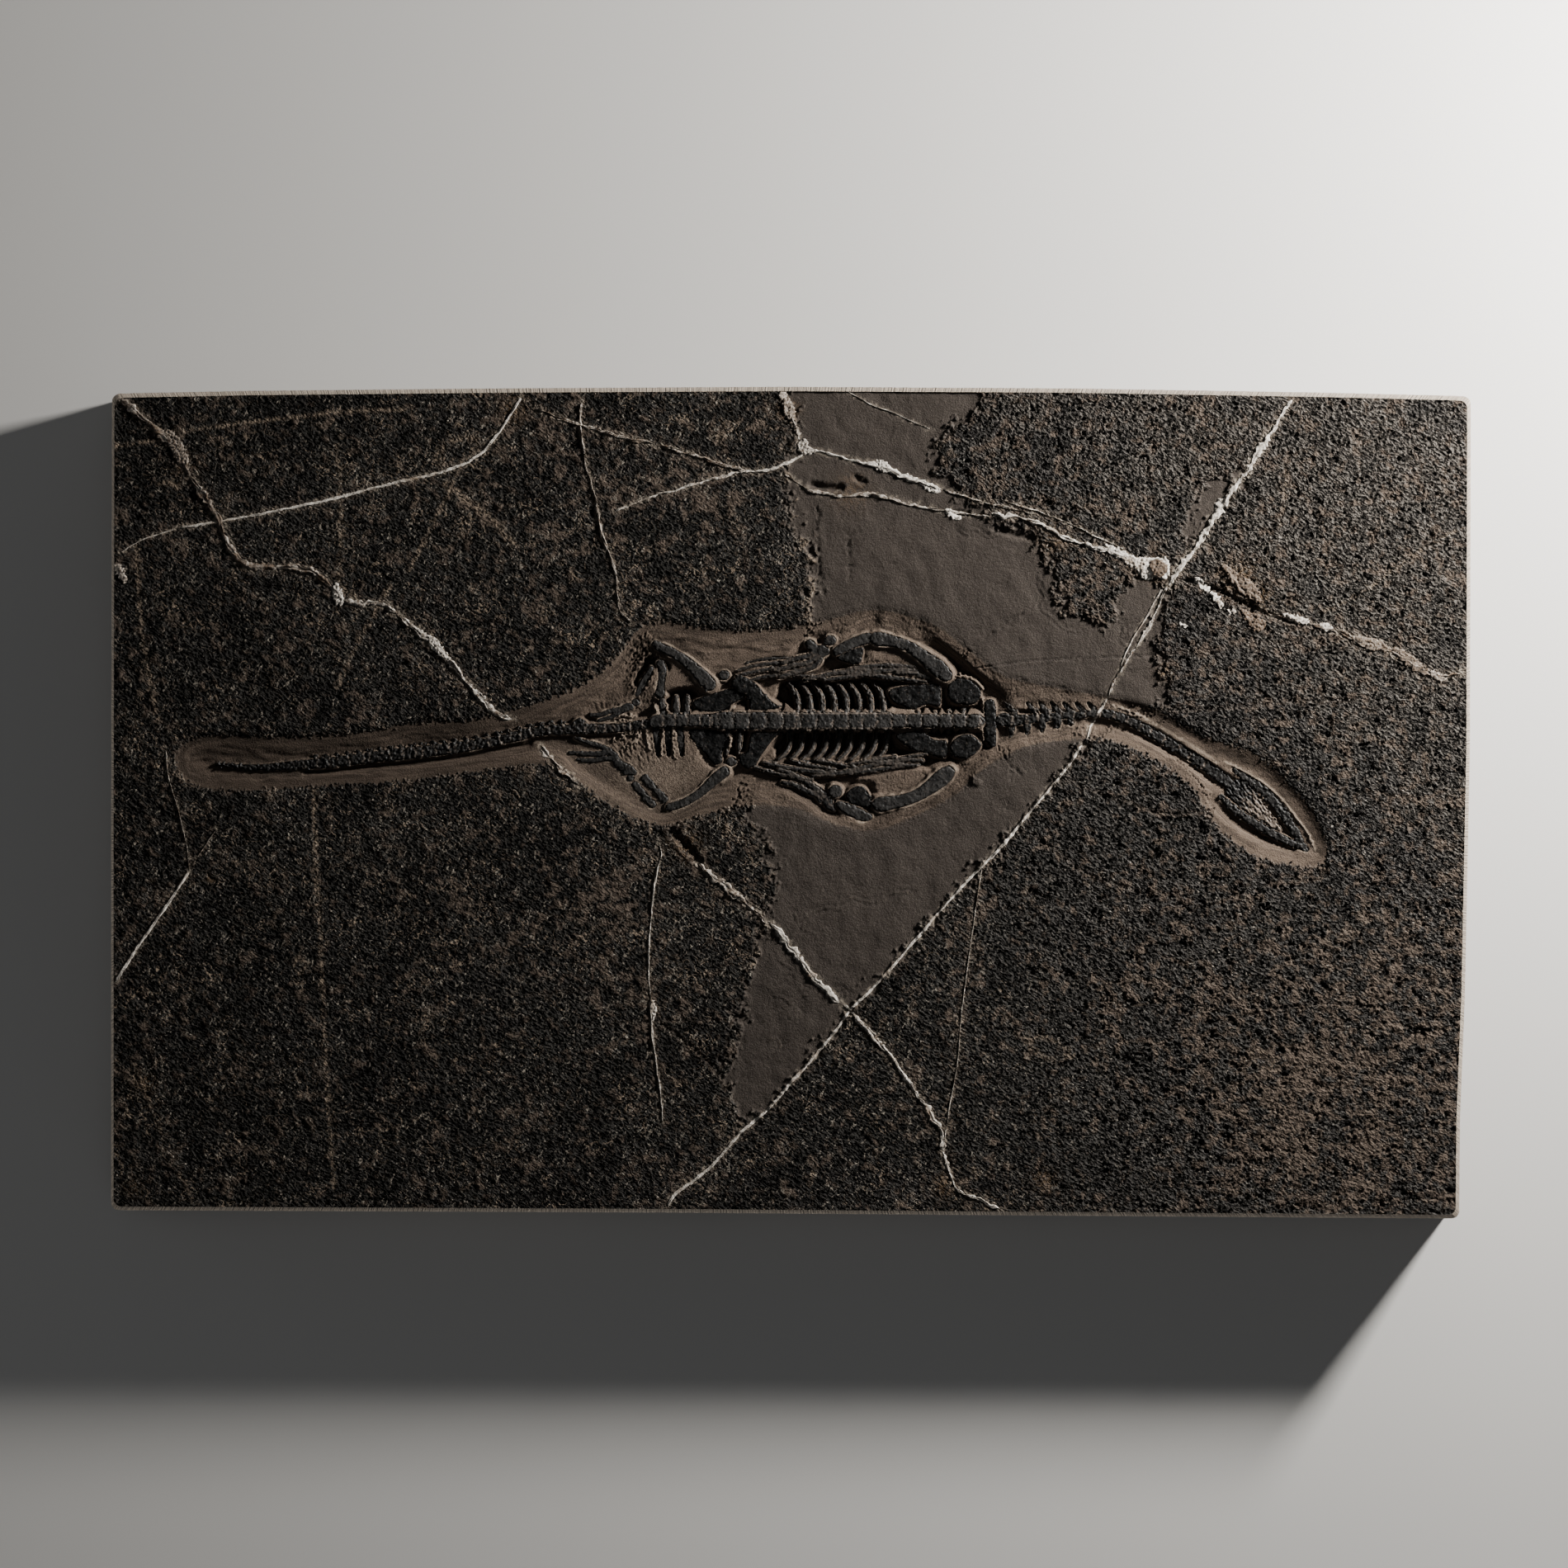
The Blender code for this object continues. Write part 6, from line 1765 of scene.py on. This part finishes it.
# Painted shade and highlight: the crust is darker in the hollows and lighter on the crests of the grit that
# also makes its bump.
grit_shade_and_highlight = remap(tree, crumbs, 0.38, 0.62, -0.76, 1.10)
grit_shade_and_highlight = multiply(tree, grit_shade_and_highlight, multiply(tree, on_left, 0.10, 1.0))
tone = remap(tree, cloud, 0.36, 0.64, -0.25, 0.25)
tone = multiply(tree, tone, multiply(tree, on_left, 0.75, 0.25))
crust_colour = shade(tree, crust_colour, calculate(tree, 'ADD', grit_shade_and_highlight, 1.0))
crust_colour = shade(tree, crust_colour, calculate(tree, 'ADD', tone, 1.0))
cloudy = remap(tree, cloud, 0.35, 0.65)
pale_colour = mix_colours(tree, cloudy, PALE_GROUND, tuple(c * 0.80 for c in PALE_GROUND))
# The pale ground gets the same painted shade and highlight from the grit.
pale_colour = shade(tree, pale_colour, remap(tree, crumbs, 0.38, 0.60, 0.60, 1.20))
colour = mix_colours(tree, mask(tree, "pale"), crust_colour, pale_colour)
wave = use_group(tree, leaning, Size=1500.0, Turn=(0.0, 0.0, math.radians(58)), Stretch=(2.0, 1.0, 1.0))
broken_up = noise(tree, 420.0, 3.0)
line = multiply(tree, remap(tree, wave, 0.57, 0.68), remap(tree, broken_up, 0.48, 0.60))
line = multiply(tree, line, multiply(tree, on_left, 0.8, 0.2))
colour = mix_colours(tree, line, colour, GLINT_GREY)
# Painted glints: thin pale threads over the left crust, mixed in with the real dust of its healed cracks.
curl = noise(tree, 380.0, 1.5, Distortion=0.8)
off_middle = calculate(tree, 'ABSOLUTE', calculate(tree, 'SUBTRACT', curl, 0.5))
glint_thread = remap(tree, off_middle, 0.008, 0.026, 1.0, 0.0)
patchy = noise(tree, 130.0, 4.0, 0.7)
glint_thread = multiply(tree, glint_thread, remap(tree, patchy, 0.50, 0.62, 0.0, 0.75))
glint_thread = multiply(tree, glint_thread, multiply(tree, on_left, 0.9, 0.1))
dust_and_glint_threads = calculate(tree, 'MAXIMUM', mask(tree, "dust"), glint_thread)
colour = mix_colours(tree, dust_and_glint_threads, colour, DUST_AND_GLINT_BEIGE)
# Painted glints: small pale specks over the stone.
glint_specks = noise(tree, 1500.0, 1.0)
sparkle = multiply(tree, remap(tree, glint_specks, 0.67, 0.75), remap(tree, cloud, 0.45, 0.60))
colour = mix_colours(tree, sparkle, colour, SPARKLE_WHITE)
patch_colour = mix_colours(tree, cloudy, PATCH_BROWN, tuple(c * 1.18 for c in PATCH_BROWN))
layered = use_group(tree, strata, Spacing=5200.0)
carved_colour = mix_colours(tree, layered, CARVED_DARK, CARVED_BEIGE)
# The carved stone is darker on the bank beside the head, which is painted shade, and also on the south wall
# and towards the left.
carved_shade = multiply(tree, mask(tree, "dusky"), -0.34, 0.94)
carved_colour = shade(tree, carved_colour, carved_shade)
for name, strength, layer in (("smooth", 1.0, patch_colour), ("carved", 1.0, carved_colour),
                              ("lip", 0.8, LIP_PALE), ("bloom", 1.0, BLOOM_WHITE),
                              ("stain", 1.0, STAIN_OCHRE)):
    colour = mix_colours(tree, multiply(tree, mask(tree, name), strength), colour, layer)
# Painted shade: darker in the pits, the crevices and the rugged spot.
colour = shade(tree, colour, multiply(tree, mask(tree, "painted_hollow_shade"), -0.78, 1.0))
colour = use_group(tree, speckle, Colour=colour, Scale=3600.0, Strength=0.22)
set_surface(tree, shader, colour, remap(tree, fleck, 0.35, 0.65, 0.66, 0.86), 0.03)
sand = use_group(tree, relief, Scale=2600.0, Roughness=0.65)
crumb_share = multiply(tree, knobbly, 1.0, 2.5)
crumb_share = multiply(tree, mask(tree, "grey"), 0.9, crumb_share)
crust_height = multiply(tree, crumbs, crumb_share)
crust_height = multiply(tree, line, 0.4, crust_height)
on_crust = multiply(tree, mask(tree, "crust"), multiply(tree, mask(tree, "pale"), -0.4, 1.0))
crust_height_share = multiply(tree, crust_height, on_crust)
sand_share = multiply(tree, mask(tree, "crust"), -0.7, 0.8)
fine_height = multiply(tree, sand, sand_share, crust_height_share)
add_bump(tree, shader, fine_height, 0.00030)

# %% [markdown]
# ## Sawn limestone
# A saw leaves stone paler than weathering does. The border is grey-brown with fine marks across the
# chamfer and faint beds down the sides.

# %% Sawn border shader
SAWN_GREY = (0.085, 0.074, 0.064)
SAWN_DARK = (0.046, 0.041, 0.037)
SAWN_EDGE = (0.330, 0.280, 0.225)
sawn, tree, shader = start_material("sawn_limestone")
height = add_node(tree, "ShaderNodeSeparateXYZ", Vector=object_place(tree)).outputs["Z"]
beds = use_group(tree, strata, Spacing=900.0)
marks = add_node(tree, "ShaderNodeTexNoise", {"noise_dimensions": '1D'}, Scale=2800.0, Detail=3.0,
                 Roughness=0.6, W=mask(tree, "along")).outputs[0]
side_colour = mix_colours(tree, beds, SAWN_DARK, SAWN_GREY)
edge_share = remap(tree, height, CRUST_LEVEL - 1.9 * MM, CRUST_LEVEL - 1.0 * MM)
edge_share = multiply(tree, edge_share, remap(tree, marks, 0.36, 0.60, 0.12, 1.0))
colour = mix_colours(tree, edge_share, side_colour, SAWN_EDGE)
colour = use_group(tree, speckle, Colour=colour, Scale=2600.0, Strength=0.25)
set_surface(tree, shader, colour, 0.82, 0.15)
add_bump(tree, shader, marks, 0.00030, 0.8)

# %% [markdown]
# ## Fossil bone
# The bones are charcoal, with a slight gloss from the consolidant that a preparator brushes on.
# Pale dust stays in their hollows.

# %% Bone shaders
BONE_DARK = (0.0095, 0.0090, 0.0086)
BONE_GREY = (0.026, 0.0245, 0.0232)
BONE_DUST = (0.130, 0.103, 0.082)


def bone_material(name, brightness):
    """Fossil bone, made darker by a factor below one."""
    material, tree, shader = start_material(name)
    cloud = noise(tree, 420.0, 5.0, 0.65)
    dust = noise(tree, 1300.0, 4.0, 0.7)
    dark = tuple(c * brightness for c in BONE_DARK)
    grey = tuple(c * brightness for c in BONE_GREY)
    colour = mix_colours(tree, remap(tree, cloud, 0.36, 0.66), dark, grey)
    colour = mix_colours(tree, remap(tree, dust, 0.60, 0.74, 0.0, 0.5), colour, BONE_DUST)
    # Pale stone in the joints, and a painted highlight along the east side of thin rods.
    colour = mix_colours(tree, mask(tree, "matrix"), colour, BONE_DUST)
    colour = use_group(tree, speckle, Colour=colour, Scale=4200.0, Strength=0.2)
    set_surface(tree, shader, colour, remap(tree, cloud, 0.3, 0.7, 0.44, 0.60), 0.20)
    add_bump(tree, shader, use_group(tree, relief, Scale=3200.0, Roughness=0.6), 0.00012, 0.7)
    return material


bone_finish = {"bone": bone_material("fossil_bone", 1.0),
               "thin_bone": bone_material("thin_fossil_bone", 0.7)}
# The tail, neck and skull get a copy of the bone finish at half its brightness.
darker_finish = bone_material("half_bright_fossil_bone", 0.5)
# Painted shade: the flat plates get a copy of the bone finish at a tenth of its brightness, standing in for
# the shade they lie in.
plate_shade_finish = bone_material("flat_fossil_bone_painted_shade", 0.1)
DARKER_BONES = ("tail", "neck", "skull")

# %% Calcite shader
CALCITE_WHITE = (0.640, 0.590, 0.520)
CALCITE_TAN = (0.250, 0.175, 0.110)
CALCITE_BROWN = (0.078, 0.046, 0.023)
calcite, tree, shader = start_material("vein_calcite")
stain = noise(tree, 160.0, 5.0, 0.65)
grit = noise(tree, 1500.0, 4.0, 0.7)
stained = mix_colours(tree, remap(tree, stain, 0.52, 0.70), CALCITE_WHITE, CALCITE_TAN)
colour = mix_colours(tree, mask(tree, "white"), CALCITE_BROWN, stained)
colour = mix_colours(tree, remap(tree, grit, 0.50, 0.64, 0.0, 0.8), colour, PATCH_BROWN)
set_surface(tree, shader, colour, remap(tree, grit, 0.3, 0.7, 0.45, 0.8))
add_bump(tree, shader, use_group(tree, relief, Scale=2200.0, Roughness=0.7), 0.00025, 0.9)

# %% Give every piece its finish and its body, and hide the solid that it replaces
def dress(piece, material, node):
    """Gives a piece its finish, hangs it under the root body and hides the solid that it replaces."""
    piece.data.materials.clear()
    piece.data.materials.append(material)
    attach(piece, "root")
    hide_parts(node)


for piece in stone_pieces:
    dress(piece, limestone, "slab")
dress(border, sawn, "slab")
for piece in vein_pieces:
    dress(piece, calcite, "slab")
for name, piece in bone_pieces.items():
    finish = darker_finish if name in DARKER_BONES else bone_finish[BONE_SLOTS[name]]
    finish = plate_shade_finish if name in PLATE_BONES else finish
    dress(piece, finish, name)

# %% [markdown]
# ## Floor, light and camera
# The slab lies on a plain pale floor. The photograph's light comes in very low from the upper right,
# so one lamp stands there, close enough that the left side falls darker. A weak, wide light fills
# the shadows, and three long lamps near the floor show the sides without reaching the top face. The
# camera looks straight down with a long lens.

# %% Floor
bpy.ops.object.select_all(action='DESELECT')
bpy.ops.mesh.primitive_plane_add(size=8.0, location=(0, 0, -0.0002))
floor_plane = bpy.context.object
floor_plane.name = "studio_floor"
paper, tree, shader = start_material("pale_paper")
set_surface(tree, shader, (0.62, 0.61, 0.59), 0.9)
floor_plane.data.materials.append(paper)


# %% Lamps
def add_lamp(name, place_at, target, size, power, colour=(1.0, 1.0, 1.0)):
    """A soft lamp that looks at a target. Its size is across and up."""
    lamp = bpy.data.lights.new(name, 'AREA')
    lamp.shape = 'RECTANGLE'
    lamp.size_y, lamp.size = size
    lamp.energy = power
    lamp.color = colour
    holder = bpy.data.objects.new(name, lamp)
    bpy.context.scene.collection.objects.link(holder)
    holder.location = place_at
    away = [a - b for a, b in zip(place_at, target)]
    turn = math.atan2(away[1], away[0])
    tilt = math.atan2(math.hypot(away[0], away[1]), away[2])
    holder.rotation_euler = (0.0, tilt, turn)
    holder.visible_camera = False
    return holder


KEY_PX = (2900, -200)
KEY_HEIGHT = 0.14
key_place = (*place(*KEY_PX), KEY_HEIGHT)
add_lamp("key_lamp", key_place, (0.0, 0.0, 0.0), (0.06, 0.06), 9.0, (1.0, 0.97, 0.93))
add_lamp("fill_lamp", (-0.4, -0.3, 1.6), (0.0, 0.0, 0.0), (1.6, 1.6), 1.2, (0.94, 0.97, 1.0))
SIDE_LAMP_HEIGHT = 0.009
SIDE_LAMPS = {"side_lamp_front": (0.0, -0.50), "side_lamp_left": (-0.58, 0.0), "side_lamp_back": (0.0, 0.52)}
for name, spot in SIDE_LAMPS.items():
    add_lamp(name, (*spot, SIDE_LAMP_HEIGHT), (0.0, 0.0, SIDE_LAMP_HEIGHT), (0.5, 0.016), 1.0)

world = bpy.data.worlds.new("studio_air")
world.use_nodes = True
background = world.node_tree.nodes["Background"]
background.inputs["Color"].default_value = (0.80, 0.82, 0.85, 1.0)
background.inputs["Strength"].default_value = 0.05
bpy.context.scene.world = world

# %% Camera
PHOTO_SIDE_PX = 1900
CAMERA_HEIGHT = 1.6
frame_width = PHOTO_SIDE_PX * PIXEL
camera = bpy.data.cameras.new("photo_camera")
camera.sensor_width = 36.0
camera.lens = camera.sensor_width * (CAMERA_HEIGHT - CRUST_LEVEL) / frame_width
viewer = bpy.data.objects.new("photo_camera", camera)
bpy.context.scene.collection.objects.link(viewer)
centre_x, centre_y = place(PHOTO_SIDE_PX / 2, PHOTO_SIDE_PX / 2)
viewer.location = (centre_x, centre_y, CAMERA_HEIGHT)
bpy.context.scene.camera = viewer
print(f"the lens is {camera.lens:.0f} mm long")
